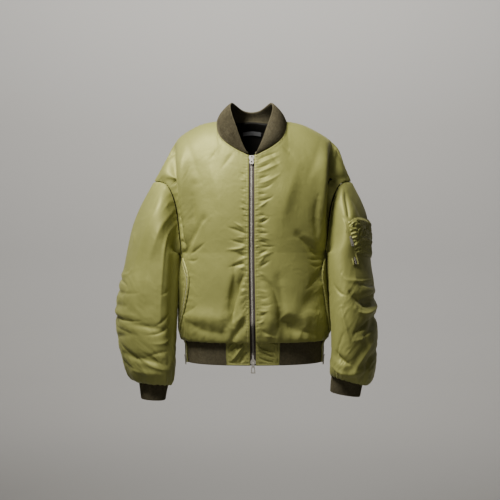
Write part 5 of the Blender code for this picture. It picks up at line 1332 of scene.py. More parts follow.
def nickel(name, colour, roughness):
    """Plated metal with faint brushing, its tone and roughness wandering at random."""
    made, tree, shader = new_material(name, colour, roughness, 0.6)
    place = add_node(tree, "ShaderNodeTexCoord").outputs["Object"]
    vary_colour(tree, shader, place, 420.0, tuple(0.78 * c for c in colour), colour)
    vary_roughness(tree, shader, place, 700.0, roughness - 0.08, roughness + 0.14)
    scratch = add_node(tree, "ShaderNodeTexNoise", Scale=1500.0, Detail=2.0)
    tree.links.new(place, scratch.inputs["Vector"])
    add_bumps(tree, shader, [(scratch.outputs["Fac"], 0.00006, 0.3)])
    return made


OLIVE = (0.228, 0.230, 0.071)
OLIVE_LIGHT = (1.0, 0.98, 0.34)
nylon = satin("olive_nylon", OLIVE, OLIVE_LIGHT)
rib_knit = knit("olive_rib", (0.078, 0.066, 0.036), (0.42, 0.38, 0.26))
tape_cloth = woven("zip_tape", (0.050, 0.036, 0.028), 0.0009, 0.80)
lining_cloth = satin("lining", (0.010, 0.009, 0.008), (0.10, 0.10, 0.09), 0.55, 0.05)
label_cloth = woven("label", (0.125, 0.125, 0.13), 0.0006, 0.75, 0.10)
thread = woven("thread", (0.40, 0.375, 0.160), 0.0004, 0.60)
dark_thread = woven("dark_thread", (0.035, 0.028, 0.020), 0.0004, 0.70)
silver = nickel("zip_metal", (0.50, 0.47, 0.41), 0.42)


# ---------------------------------------------------------------- the nylon panels

BODY, SLOTS = "jacket", {"nylon": "olive_nylon", "rib": "olive_rib", "tape": "zip_tape", "metal": "zip_metal"}
SIDES = ((LEFT, "left"), (RIGHT, "right"))
PANEL_ROWS = 0.00025 + (1 - 0.0009) * np.linspace(0, 1, 286)


def add_piece(made, slot, *nodes, body=BODY):
    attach(made, body)
    if nodes:
        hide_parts(*nodes)
    return made


def seam_roll(distance, depth=0.0011):
    """Cloth turns in at a seam and puffs up beside it."""
    return 0.45 * depth * bell(distance - 0.0085, 0.0045) - depth * bell(distance, 0.0026)


def stitch_groove(distance, where, depth=0.0005):
    return -depth * bell(distance - where, 0.0009)


def light_crumple(cloth, seed, amount):
    """A light crumple all over, with a slow swell under it."""
    fine = crumple(cloth.s / 0.034, cloth.t / 0.034 + 11.3, seed)
    slow = noise(cloth.s / 0.105 + 4.7, cloth.t / 0.105, seed + 9)
    return amount * fine + 0.0011 * slow


def edge_fade(cloth, reach=0.010):
    edge = np.minimum(cloth.t, cloth.t_left)
    if not cloth.closed:
        edge = np.minimum(edge, np.minimum(cloth.s, cloth.s_left))
    return ease(edge / reach)


FOLD_SHARE = 0.6  # of the solids' folds and gathers. The creases bring the rest.


def hem_gathers(t_at, turns):
    rise = t_at * 0.60
    gather = 0.4 * HEM_GATHER["height"] * np.exp(-rise / HEM_GATHER["reach"]) * ease(t_at / 0.03)
    return gather[None, :] * np.sin(2 * math.pi * turns)[:, None]


# The deep fold where a sleeve and the body meet: how far the cloth falls back there, and over what distance.
VALLEY = {"front": 0.024, "back": 0.012}
VALLEY_WIDTH = {
    (LEFT, "body"): 0.022,
    (LEFT, "sleeve"): 0.012,
    (RIGHT, "body"): 0.016,
    (RIGHT, "sleeve"): 0.024,
}


def armhole_valley(points, side, part):
    """The cloth's fall back into the armhole's fold, as a vector for each point."""
    under = armhole(side, 0.0)[1]
    way = np.linspace(0.005, 0.995, 70)
    share = np.concatenate([way * under, under + way * (1 - under)])
    seam = armhole(side, share)[0]
    front = share < under
    place = np.where(front, share / under, (1 - share) / (1 - under))
    push = np.where(front, VALLEY["front"], -VALLEY["back"]) * np.sin(math.pi * place)
    push *= ease((1 - place) / 0.40)
    flat = points.reshape(-1, 3)
    near = np.flatnonzero((side * flat[:, 0] > 0.12) & (flat[:, 2] > -0.42))
    gap = np.linalg.norm(flat[near, None] - seam[None], axis=2)
    best = gap.argmin(axis=1)
    moved = np.zeros_like(flat)
    moved[near, 1] = push[best] * bell(gap[np.arange(len(near)), best], VALLEY_WIDTH[side, part])
    return moved.reshape(points.shape)


SIDE_FULLNESS = 0.0065  # how far the back's sides and the sleeves' inner sides swell towards each other


def below_arm(height):
    return bell(height + 0.410, 0.075)


def front_panel(side, name):
    s_at, t_at = np.linspace(0, 0.9994, 142), PANEL_ROWS
    cloth = Cloth(body_base(side, "front", s_at, t_at), side)
    across, height = side * cloth.base[..., 0], cloth.base[..., 2]
    main = fold_height(FRONT_FOLDS[side], across, height)
    edge = ease((1 - s_at) / 0.16)[:, None] * ease(t_at / 0.05)[None, :]
    from_zip = across - across[:1]
    behind_zip = np.where(main < 0, ease((from_zip - 0.016) / 0.025), 1)
    main = FOLD_SHARE * main * edge * ease((1 - t_at) / 0.07)[None, :] * behind_zip
    main += hem_gathers(t_at, s_at * 0.29 / HEM_GATHER["pitch"] + 0.16) * edge
    main += 0.0060 * bell(height + 0.535, 0.032) * edge * ease(from_zip / 0.05)
    cloth.raise_by(main)
    cloth.move_by(armhole_valley(cloth.base, side, "body"))
    smooth = cloth.points.copy()
    seed = 100 + 10 * side
    below_neck = np.clip((height + 0.130) / -0.10, 0.25, 1)
    pucker = seam_puckers(cloth.s, cloth.t, seed, 0.0150, 0.017, 0.0009, 0.2) * below_neck
    pucker += seam_puckers(cloth.s, cloth.t, seed + 3, 0.0078, 0.009, 0.0009, 0.1)
    armhole_edge = ease((t_at[None, :] - UNDERARM_SHARE) / 0.04) * ease(cloth.t_left / 0.02)
    pucker += armhole_edge * seam_puckers(cloth.s_left, cloth.t, seed + 5, 0.019, 0.020, 0.0013)
    zip_edge = (1 - armhole_edge) * ease((-0.36 - height) / 0.02)
    pucker += zip_edge * seam_puckers(cloth.s_left, cloth.t, seed + 7, 0.017, 0.018, 0.0016)
    pucker += seam_puckers(cloth.t, cloth.s, seed + 11, 0.0125, 0.014, 0.0010)
    pucker += seam_puckers(cloth.t_left, cloth.s, seed + 13, 0.015, 0.014, 0.0008)
    near_side = 0.5 + 1.1 * ease((across - 0.13) / 0.06) * ease((-0.18 - height) / 0.10)
    near_hem = 1 + 0.9 * ease((-0.48 - height) / 0.08)
    by_zip = ease((cloth.s - 0.004) / 0.016)
    detail = pucker + creases(FRONT_CREASES[side], across, height) * edge_fade(cloth, 0.012) * by_zip
    detail += light_crumple(cloth, seed + 20, 0.00075) * near_side * near_hem * edge_fade(cloth)
    detail += seam_roll(cloth.s_left, 0.0006) + seam_roll(cloth.t) + seam_roll(cloth.t_left)
    detail += stitch_groove(cloth.s, 0.0062, 0.0006) - 0.0007 * bell(cloth.s, 0.0016)
    detail += stitch_groove(cloth.t_left, 0.0022) + stitch_groove(cloth.t_left, 0.0085)
    detail += 0.0009 * bell(cloth.t_left - 0.0054, 0.0020)
    cloth.raise_by(detail)
    made = cloth_shell(f"front_{name}_nylon", cloth, smooth, detail, [nylon, lining_cloth])
    add_piece(made, SLOTS["nylon"], f"front_{name}")
    stitched = (("s0", 0.0062), ("t1", 0.0022), ("t1", 0.0085))
    lines = [cloth.line(edge, distance, 0.0001) for edge, distance in stitched]
    add_piece(topstitch(f"front_{name}_stitches", lines, thread), SLOTS["nylon"])
    return made


def back_panel():
    half = np.linspace(0, 0.9994, 115)
    s_at, t_at = np.concatenate([-half[:0:-1], half]), PANEL_ROWS
    cloth = Cloth(back_base(s_at, t_at), -1)
    across, height = cloth.base[..., 0], cloth.base[..., 2]
    edge = ease((1 - np.abs(s_at)) / 0.14)[:, None] * ease(t_at / 0.05)[None, :]
    main = fold_height(BACK_FOLDS, across, height) * edge * ease((1 - t_at) / 0.06)[None, :]
    main *= 1 - 0.8 * ease((np.abs(across) - 0.17) / 0.03) * ease((-0.27 - height) / 0.06)
    main += hem_gathers(t_at, s_at * 0.27 / HEM_GATHER["pitch"]) * edge
    # Straight back, so a tight corner isn't turned over.
    cloth.move_by(main[..., None] * np.array([0.0, 1.0, 0.0]))
    side_gap = np.minimum(cloth.s, cloth.s_left)
    fall = armhole_valley(cloth.base, LEFT, "body") + armhole_valley(cloth.base, RIGHT, "body")
    fall[..., 0] += SIDE_FULLNESS * np.sign(across) * bell(side_gap - 0.045, 0.026) * below_arm(height)
    cloth.move_by(fall)
    smooth = cloth.points.copy()
    pucker = seam_puckers(cloth.t, cloth.s, 301, 0.0135, 0.026, 0.0024)
    armhole_edge = ease((t_at[None, :] - UNDERARM_SHARE) / 0.04) * ease(cloth.t_left / 0.02)
    pucker += armhole_edge * seam_puckers(side_gap, cloth.t, 305, 0.019, 0.022, 0.0014)
    pucker += (1 - armhole_edge) * seam_puckers(side_gap, cloth.t, 307, 0.018, 0.018, 0.0014)
    pucker += seam_puckers(cloth.t_left, cloth.s, 311, 0.015, 0.014, 0.0008)
    near_hem = 1 + 1.2 * ease((-0.42 - height) / 0.10)
    near_side = 1 + 0.8 * ease((0.06 - side_gap) / 0.05)
    detail = pucker + creases(BACK_CREASES, across, height) * edge_fade(cloth, 0.012)
    detail += light_crumple(cloth, 320, 0.00075) * near_hem * near_side * edge_fade(cloth)
    for distance in (side_gap, cloth.t, cloth.t_left):
        detail += seam_roll(distance)
    detail += stitch_groove(cloth.t_left, 0.0022) + stitch_groove(cloth.t_left, 0.0085)
    cloth.raise_by(detail)
    made = cloth_shell("back_nylon", cloth, smooth, detail, [nylon, lining_cloth])
    add_piece(made, SLOTS["nylon"], "back")
    lines = [cloth.line("t1", 0.0022, 0.0001), cloth.line("t1", 0.0085, 0.0001)]
    columns = len(s_at)
    neck = slice(int(columns * (0.5 - NECK_SHARE / 2)) - 1, int(columns * (0.5 + NECK_SHARE / 2)) + 2)
    lines = [(points[neck], out[neck]) for points, out in lines]
    add_piece(topstitch("back_stitches", lines, thread), SLOTS["nylon"])
    return made


SEAM_TUCK = 0.0020  # how far a sleeve's top edge goes in under the body's


def turned_folds(rows, fold, across, height):
    """Folds or creases that are placed by angle, read on a sleeve all the way round."""
    total = np.zeros_like(across)
    for turn in (-360, 0, 360):
        near = dict(rows)
        for column in set(rows) & {"a1", "a2", "x1", "xm", "x2"}:
            if fold is creases or column[0] == "a":
                near[column] = np.radians(near[column] + turn) * SLEEVE_RADIUS
        total += fold(near, across, height)
    return total


def sleeve_panel(side, name):
    around, v_at = np.arange(204) / 204, 0.0010 + (1 - 0.0013) * np.linspace(0, 1, 250)
    cloth = Cloth(sleeve_base(side, around, v_at), side, closed=True)
    angle = sleeve_angle(side, around)
    across = np.repeat(np.radians(angle)[:, None] * SLEEVE_RADIUS, len(v_at), axis=1)
    height = cloth.base[..., 2]
    folds = dict(SLEEVE_FOLDS[side])
    if side == LEFT:  # the pleat in front of the pocket comes with the creases
        folds = {column: values[1:] for column, values in folds.items()}
    main = turned_folds(folds, fold_height, across, height)
    kept = FOLD_SHARE if side == RIGHT else 1.0
    main *= kept * ease(v_at / 0.10)[None, :] * ease((1 - v_at) / 0.06)[None, :]
    low = np.exp(-(((1 - v_at) - 0.07) ** 2) / 0.05**2) * ease((1 - v_at) / 0.05)
    waves = np.sin(np.radians(angle) * CUFF_GATHERS + 0.7 * side)
    main += 0.5 * CUFF_GATHER_HEIGHT * waves[:, None] * low[None, :]
    inner = bell(angle - 190, 34)[:, None]
    if side == RIGHT:  # its inner face turns away behind the front's long edge
        down = ease((-0.20 - height) / 0.06) * ease((height + 0.66) / 0.08) * ease(v_at / 0.10)[None, :]
        turned_away = 0.0130 * bell(angle - 156, 20)[:, None] * down
    else:
        turned_away = np.zeros_like(height)
    cloth.raise_by(main)
    swell = 0.35 * SIDE_FULLNESS * inner * below_arm(height) * ease(v_at / 0.10)[None, :]
    inward, behind = np.array([-side, 0.0, 0.0]), np.array([-0.75, 0.66, 0.0])
    cloth.move_by(swell[..., None] * inward + turned_away[..., None] * behind)
    cloth.move_by(armhole_valley(cloth.base, side, "sleeve"))
    smooth = cloth.points.copy()
    seed = 500 + 10 * side
    detail = turned_folds(SLEEVE_CREASES[side], creases, across, height) * (0.65 if side == RIGHT else 1.0)
    detail *= ease(v_at / 0.06)[None, :] * ease((1 - v_at) / 0.04)[None, :]
    turns = angle / 360
    ring = np.repeat(turns[:, None] * 0.46, len(v_at), axis=1)
    detail += seam_puckers(cloth.t_left, ring, seed, 0.46 / 22, 0.032, 0.0034)
    detail += seam_puckers(cloth.t_left, ring, seed + 2, 0.46 / 41, 0.014, 0.0012)
    detail += seam_puckers(cloth.t, ring, seed + 4, 0.46 / 24, 0.018, 0.0011)
    elbow = 0.8 * bell(height + 0.50, 0.07)
    lower = 1.5 * ease((-0.56 - height) / 0.08)
    under = 0.9 * bell(angle - 180, 50)[:, None]
    blend_ends = ease(np.minimum(turns, 1 - turns) / 0.03)[:, None]
    rough = crumple(ring / 0.036, cloth.t / 0.036, seed + 20)
    rough_back = crumple((0.46 - ring) / 0.036 + 31.0, cloth.t / 0.036, seed + 21)
    rough = rough * blend_ends + rough_back * (1 - blend_ends)
    detail += (0.00055 + 0.00095 * (elbow + lower) + 0.0004 * under) * rough * edge_fade(cloth)
    detail += seam_roll(cloth.t, 0.0006) + seam_roll(cloth.t_left)
    tight = bell(angle - 196, 30)[:, None] * bell(v_at - 0.20, 0.09)[None, :]
    detail *= 1 - 0.85 * tight  # under the arm the cloth is bent too sharply for more creases
    if side == LEFT:  # the sleeve lies flat under the pocket and its zip
        turned = np.where(angle > 180, angle - 360, angle)[:, None]
        under_it = ease((turned + 24) / 4) * ease((90 - turned) / 4)
        under_it = under_it * ease((-0.252 - height) / 0.012) * ease((height + 0.436) / 0.012)
        detail = detail * (1 - under_it) - 0.0008 * under_it
    cloth.raise_by(detail)
    along = unit(cloth.points[:, 1] - cloth.points[:, 0])
    cloth.points[:, 1] -= 0.0012 * cloth.normal[:, 1]
    cloth.points[:, 0] -= 0.0028 * cloth.normal[:, 0] + SEAM_TUCK * along
    cloth.normal = cloth.normals(cloth.points)
    made = cloth_shell(f"sleeve_{name}_nylon", cloth, smooth, detail, [nylon, lining_cloth])
    add_piece(made, SLOTS["nylon"], f"sleeve_{name}")
    points, out = cloth.line("t0", 0.0050, 0.0001)
    closed = np.vstack([points, points[:1]]), np.vstack([out, out[:1]])
    add_piece(topstitch(f"sleeve_{name}_stitches", [closed], thread), SLOTS["nylon"])
    return made


# ---------------------------------------------------------------- rib knit

RIB_PITCH = 0.0031
RIB_COLUMNS = 5
KNIT_WALL = 0.0026


def rib_band(
    name, surface, width, rows, turn, nodes, closed=False, low=0.0, span=(0.0, 1.0), thick=KNIT_WALL
):
    """A band of ribs on both faces, folded over at its free edge. surface gives points at shares round the
    band and up it. width is the length round it."""
    count = int(round(width / RIB_PITCH)) * RIB_COLUMNS
    shares = np.linspace(span[0], span[1], count + 1)
    if closed:
        shares = shares[:-1]
    v_at = np.concatenate([np.linspace(0.004, 0.94, rows), [0.965, 0.985, 0.996, 1.0]])
    middle = surface(shares, v_at)
    out = normals(surface, shares, v_at, turn, low=low, closed=closed)
    over = np.sqrt(np.clip(1 - ((v_at - 0.94) / 0.06).clip(0, 1) ** 2, 0, 1))
    seam = ease(v_at / 0.05)
    phase = np.arange(len(shares)) * 2 * math.pi / RIB_COLUMNS
    rib = RIB_RISE * (np.maximum(np.cos(phase), -0.55) + 0.1)[:, None]
    worn = 1 + 0.25 * noise(shares[:, None] * width / 0.02, v_at[None, :] * 4, len(name))
    front = middle + out * ((rib * worn + 0.0004) * seam * over)[..., None]
    depth = (thick * (0.35 + 0.65 * seam)) * over + rib * 0.8 * seam * over
    back = middle - out * depth[..., None] - out * 0.0001
    columns = len(shares)
    outer = np.concatenate([front, back[:, -2::-1]], axis=1)
    rows_all = outer.shape[1]
    flip = turn < 0
    faces = quads(columns, rows_all, 0, closed, flip)
    lower = [[i * rows_all, i * rows_all + rows_all - 1] for i in range(columns)]
    for i in range(columns if closed else columns - 1):
        a, b = lower[i], lower[(i + 1) % columns]
        face = [a[1], b[1], b[0], a[0]]
        faces.append(face[::-1] if flip else face)
    if not closed:
        half = len(v_at) - 1
        for i, back_end in ((0, False), (columns - 1, True)):
            for j in range(half):
                a, b = i * rows_all + j, i * rows_all + rows_all - 1 - j
                face = [a, a + 1, b - 1, b] if j < half - 1 else [a, a + 1, b]
                faces.append(face[::-1] if back_end == flip else face)
    place = np.concatenate([[0], np.cumsum(np.linalg.norm(np.diff(middle[:, rows // 2], axis=0), axis=1))])
    rise = np.concatenate([[0], np.cumsum(np.linalg.norm(np.diff(outer[0], axis=0), axis=1))])
    uv = np.stack(np.broadcast_arrays(place[:, None], rise[None, :]), axis=-1).reshape(-1, 2)
    made = build(name, outer.reshape(-1, 3), faces, [rib_knit], uv)
    return add_piece(made, SLOTS["rib"], *nodes)


def length_round(surface, span, v=0.5):
    line = surface(np.linspace(*span, 200), np.array([v]))[:, 0]
    return np.linalg.norm(np.diff(line, axis=0), axis=1).sum()


def hem_front(side):
    def surface(s_at, t_at):
        rows = [ring_row(section_sizes(HEM, t), side, "front", s_at) for t in t_at]
        return np.stack(rows, axis=1)

    return surface


def hem_back(s_at, t_at):
    halves = []
    for side, near in ((RIGHT, s_at < 0), (LEFT, s_at >= 0)):
        rows = [ring_row(section_sizes(HEM, t), side, "back", np.abs(s_at[near])) for t in t_at]
        halves.append(np.stack(rows, axis=1))
    return np.concatenate(halves)


def cuff_surface(side):
    def surface(s_at, t_at):
        return np.stack([sleeve_ring(CUFF[side], side, 2 * math.pi * s_at, t) for t in t_at], axis=1)

    return surface


def rib_pieces():
    """The collar, the hem and the cuffs."""
    made = {}
    width = length_round(collar_base, (0.004, 0.996))
    made["collar"] = rib_band(
        "collar_rib", collar_base, width, 12, -1, ["collar"], span=(0.004, 0.996), thick=0.0030
    )
    for side, name in SIDES:
        surface = hem_front(side)
        whole = length_round(surface, (0, 1))
        start = (HEM_TAB_WIDTH + GAP) / whole
        piece = rib_band(
            f"hem_front_{name}_rib", surface, whole * (1 - start), 10, -side, [f"hem_rib_front_{name}"],
            span=(start, 1 - GAP / whole),
        )
        made[f"hem_front_{name}"] = piece
        surface = cuff_surface(side)
        around = length_round(surface, (0, 1))
        piece = rib_band(f"cuff_{name}_rib", surface, around, 9, side, [f"cuff_{name}"], closed=True)
        made[f"cuff_{name}"] = piece
    width = length_round(hem_back, (-1, 1))
    made["hem_back"] = rib_band(
        "hem_back_rib", hem_back, width, 10, 1, ["hem_rib_back"], low=-1, span=(-0.9995, 0.9995)
    )
    return made


# On a hem tab, by distance from the zip and down from the hem seam.
TAB_CREASES = {
    RIGHT: table(
        CREASE_COLUMNS,
        ("fold", 0.009, 0.000, 0.024, 0.026, 0.050, 0.060, 0.0062, 0.0042, 0.4, -0.4),
        ("fold_side", 0.031, 0.004, 0.044, 0.020, 0.056, 0.036, 0.0045, -0.0030, 0.5, 0.0),
        ("fold_foot", 0.006, 0.032, 0.017, 0.046, 0.027, 0.064, 0.0055, -0.0034, 0.4, 0.0),
        ("corner", 0.046, 0.010, 0.054, 0.020, 0.060, 0.034, 0.0030, 0.0018, 0.6, 0.0),
        ("low", 0.034, 0.056, 0.046, 0.062, 0.058, 0.062, 0.0032, -0.0016, 0.6, 0.0),
    ),
    LEFT: table(
        CREASE_COLUMNS,
        ("slant_1", 0.006, 0.014, 0.028, 0.028, 0.056, 0.036, 0.0034, -0.0024, 0.6, 0.0),
        ("slant_2", 0.006, 0.028, 0.028, 0.041, 0.050, 0.049, 0.0034, -0.0022, 0.6, 0.0),
        ("slant_3", 0.004, 0.046, 0.025, 0.057, 0.046, 0.062, 0.0034, -0.0020, 0.6, 0.0),
        ("slant_ridge_1", 0.010, 0.022, 0.028, 0.034, 0.052, 0.043, 0.0034, 0.0018, 0.5, 0.0),
        ("slant_ridge_2", 0.016, 0.004, 0.036, 0.011, 0.058, 0.016, 0.0036, 0.0024, 0.6, 0.0),
        ("top_1", 0.036, 0.001, 0.049, 0.007, 0.060, 0.010, 0.0030, -0.0024, 0.6, 0.0),
        ("end", 0.050, 0.040, 0.056, 0.050, 0.060, 0.062, 0.0032, 0.0018, 0.6, 0.0),
    ),
}


def hem_tab(side, name):
    """The nylon tab beside the zip, doubled over at the bottom, with a row of stitches all round it."""
    surface = hem_front(side)
    whole = length_round(surface, (0, 1))
    s_at = np.linspace(0, (HEM_TAB_WIDTH - GAP) / whole, 55)
    t_at = np.linspace(0.002, 1.0, 58)
    cloth = Cloth(surface(s_at, t_at), -side)
    smooth = cloth.points.copy()
    seed = 700 + side
    edge = cloth.edge()
    detail = 0.0017 * crumple(cloth.s / 0.019, cloth.t / 0.020 + 3, seed) * ease(edge / 0.012)
    detail += 1.5 * creases(TAB_CREASES[side], cloth.s, cloth.t) * ease(edge / 0.007)
    detail += seam_puckers(cloth.s, cloth.t, seed + 3, 0.0095, 0.008, 0.0010)
    detail += seam_puckers(cloth.t, cloth.s, seed + 5, 0.0100, 0.010, 0.0012)
    detail += 0.0006 * bell(edge - 0.0022, 0.0016) - 0.0006 * bell(edge, 0.0010)
    detail += stitch_groove(edge, 0.0048, 0.0006)
    cloth.raise_by(detail)
    made = cloth_shell(f"hem_tab_{name}_nylon", cloth, smooth, detail, [nylon, nylon], rim=0.0014)
    add_piece(made, SLOTS["nylon"], f"hem_tab_{name}")
    lines = [cloth.line(edge_name, 0.0048, 0.0001) for edge_name in ("s0", "s1", "t0", "t1")]
    lines = [(points[4:-4], out[4:-4]) for points, out in lines]
    add_piece(topstitch(f"hem_tab_{name}_stitches", lines, thread), SLOTS["nylon"])
    return made


# ---------------------------------------------------------------- inside the neck

BACK_COLUMNS = np.concatenate([np.linspace(0, NECK_SHARE, 6)[:-1], np.linspace(NECK_SHARE, 0.9994, 9)])
SIDE_OF_FACING = BACK_COLUMNS[6]
FACING_ROWS = 0.00025 + (1 - 0.0009) * np.linspace(0.84, 1, 40) ** 1.25


def inside_back(s_at, t_at, depth):
    base = back_outer(s_at, t_at)
    return base - normals(back_outer, s_at, t_at, -1, low=-1) * depth


def neck_facing():
    """The black facing inside the back of the neck. Its face looks forward, into the jacket."""
    s_at = np.linspace(-SIDE_OF_FACING, SIDE_OF_FACING, 91)
    to_collar = ease((FACING_ROWS - 0.985) / 0.014)
    cloth = Cloth(inside_back(s_at, FACING_ROWS, (0.0046 - 0.0030 * to_collar)[None, :, None]), 1)
    smooth = cloth.points.copy()
    seam = (cloth.t_left - 0.021) / 0.0022
    detail = 0.0005 + 0.0005 * crumple(cloth.s / 0.034, cloth.t / 0.034, 801) * edge_fade(cloth)
    detail += 0.0007 * np.exp(-((seam - 1.6) ** 2)) - 0.0006 * np.exp(-(seam**2))
    cloth.raise_by(detail)
    made = thin_shell("neck_facing", cloth, smooth, detail, lining_cloth, 0.0006)
    add_piece(made, "lining", "neck_lining")
    line = cloth.line("t1", 0.0235, 0.0001)
    add_piece(topstitch("neck_facing_stitches", [line], dark_thread), "lining")
    return made


def neck_binding():
    """The dark tape over the neck seam, inside the back of the neck, from the collar down to the facing."""
    seam_of_back = np.linspace(-0.275, 0.275, 82)
    low = inside_back(seam_of_back, np.array([0.975]), 0.0058)[:, 0]
    shares = np.linspace(0.2, 0.8, 400)
    rows = []
    for v, depth in ((0.0, 0.0062), (0.07, 0.0062), (0.14, 0.0056)):
        line = collar_base(shares, np.array([v]))[:, 0]
        inward = np.array([0.0, 0.02, 0.0]) - line
        inward[:, 2] = 0
        line = line + unit(inward) * depth
        order = np.argsort(line[:, 0])
        read = [np.interp(low[:, 0], line[order, 0], line[order, k]) for k in range(3)]
        rows.append(np.stack(read, axis=1))
    base = np.stack([low, *rows], axis=1)
    knots = np.array([0.0, 0.45, 0.72, 1.0])
    base = np.stack([cubic(knots, column, np.linspace(0, 1, 13)) for column in base])
    cloth = Cloth(base, 1)
    smooth = cloth.points.copy()
    detail = 0.0003 * crumple(cloth.s / 0.020, cloth.t / 0.020, 841)
    cloth.raise_by(detail)
    made = thin_shell("neck_binding", cloth, smooth, detail, lining_cloth, 0.0006)
    add_piece(made, "lining")
    return made


NECK_LABEL = {"left": -0.0270, "right": 0.0300, "low": -0.0065, "high": 0.0050}


def neck_label():
    """The blank woven label on the facing, stitched down along its two ends."""
    t_rows = np.linspace(0.90, 0.999, 60)
    height = inside_back(np.array([0.0]), t_rows, 0.0)[0, :, 2]
    t_at = np.interp(np.linspace(NECK_LABEL["low"], NECK_LABEL["high"], 16), height, t_rows)
    columns = np.linspace(-0.3, 0.3, 61)
    x = inside_back(columns, np.array([t_at[8]]), 0.0)[:, 0, 0]
    s_at = np.interp(np.linspace(NECK_LABEL["left"], NECK_LABEL["right"], 61), x, columns)
    cloth = Cloth(inside_back(s_at, t_at, 0.0072), 1)
    smooth = cloth.points.copy()
    edge = cloth.edge()
    detail = 0.00025 * crumple(cloth.s / 0.012, cloth.t / 0.012, 831) * ease(edge / 0.004)
    detail += 0.0002 * bell(edge - 0.0012, 0.0007)
    cloth.raise_by(detail)
    made = thin_shell("neck_label_woven", cloth, smooth, detail, label_cloth, 0.0005)
    add_piece(made, "label", "neck_label")
    lines = [cloth.line(edge_name, 0.0014, 0.0001) for edge_name in ("s0", "s1")]
    add_piece(topstitch("neck_label_stitches", lines, dark_thread), "label")
    return made


# ---------------------------------------------------------------- zips

SEATING = 0.0006


def add_strip(made, cloth, *sewn_to, turned=0.0):
    """Measures a strip's width and length, and keeps neither. made, sewn_to and turned are not used."""
    width = float(np.linalg.norm(np.diff(cloth.points, axis=0), axis=2).sum(0).mean())
    length = float(np.linalg.norm(np.diff(cloth.points, axis=1), axis=2).sum(1).mean())


def block(half_u, half_v, half_w, bevel):
    """A small block with a bevelled top."""
    rings = [(1, -half_w), (1, half_w - bevel), (0, half_w)]
    points = []
    for full, w in rings:
        cut = 0 if full else bevel
        u, v = half_u - cut, half_v - min(cut, half_v * 0.6)
        points += [(-u, -v, w), (u, -v, w), (u, v, w), (-u, v, w)]
    faces = [(3, 2, 1, 0), (8, 9, 10, 11)]
    for ring in (0, 4):
        faces += [(ring + k, ring + (k + 1) % 4, ring + 4 + (k + 1) % 4, ring + 4 + k) for k in range(4)]
    return np.array(points), faces


def strip(line, up, out, offsets, rises):
    """A strip of points across a line: offsets along u, rises along its outward direction."""
    u = np.cross(up, out)
    return line[None] + u[None] * offsets[:, None, None] + out[None] * rises[:, None, None]


def smooth_line(points, count):
    knots = chord_knots(points)
    return cubic(knots, points, np.linspace(0, 1, count))


def main_zip_line(count):
    """The main zip's middle line from the hem's edge up to the neck, as in the solids."""
    low = []
    for v in (1.0, 0.5, 0.0):
        ends = [ring_row(section_sizes(HEM, v), side, "front", np.array([0.0]))[0] for side in (LEFT, RIGHT)]
        low.append((ends[0] + ends[1]) / 2)
    t_rows = np.linspace(0.10, 0.998, 17)
    sides = [body_base(side, "front", np.array([0.0]), t_rows)[0] for side in (LEFT, RIGHT)]
    line = smooth_line(np.vstack([low, (sides[0] + sides[1]) / 2]), count)
    up = unit(np.gradient(line, axis=0))
    out = unit(np.cross((1.0, 0.0, 0.0), up))
    return line, up, out


def main_zip():
    line, up, out = main_zip_line(421)
    for side, name in SIDES:
        offsets = np.linspace(0.0024, ZIP_TAPE_OUTER, 16)
        rises = -(ZIP_DEPTH + 0.7 * offsets**2)
        rises = rises + 0.00035 * bell(offsets - 0.0034, 0.0006)
        order = slice(None) if side == LEFT else slice(None, None, -1)
        cloth = Cloth(strip(line, up, out, side * offsets[order], rises[order]), 1)
        smooth = cloth.points.copy()
        detail = 0.00012 * np.sin(2 * math.pi * cloth.t / 0.0022 + 0 * cloth.s)
        cloth.raise_by(detail)
        made = thin_shell(f"zip_tape_{name}_woven", cloth, smooth, detail, tape_cloth, 0.0009)
        add_piece(made, SLOTS["tape"], f"zip_tape_{name}")
        add_strip(made, cloth, f"front_{name}")
        at = smooth[7 if side == LEFT else 8] + out * 0.0002
        add_piece(topstitch(f"zip_tape_{name}_stitches", [(at, out)], dark_thread), SLOTS["tape"])
    middle = ZIP_DEPTH + TAPE_WALL / 2
    template, faces = block(0.00170, 0.00078, ZIP_TEETH_THICK / 2, 0.00042)
    inner = line[3:-3] - out[3:-3] * middle
    rows = []
    for side in (LEFT, RIGHT):
        origins, axes = along_line(inner, out[3:-3], 0.0029, 0.25 if side == LEFT else 0.75)
        rows.append((origins + axes[:, 0] * side * 0.00098, axes))
    origins, axes = (np.concatenate(part) for part in zip(*rows))
    teeth = stamp("zip_teeth_rows", template, faces, origins, axes, silver)
    add_piece(teeth, SLOTS["metal"], "zip_teeth")


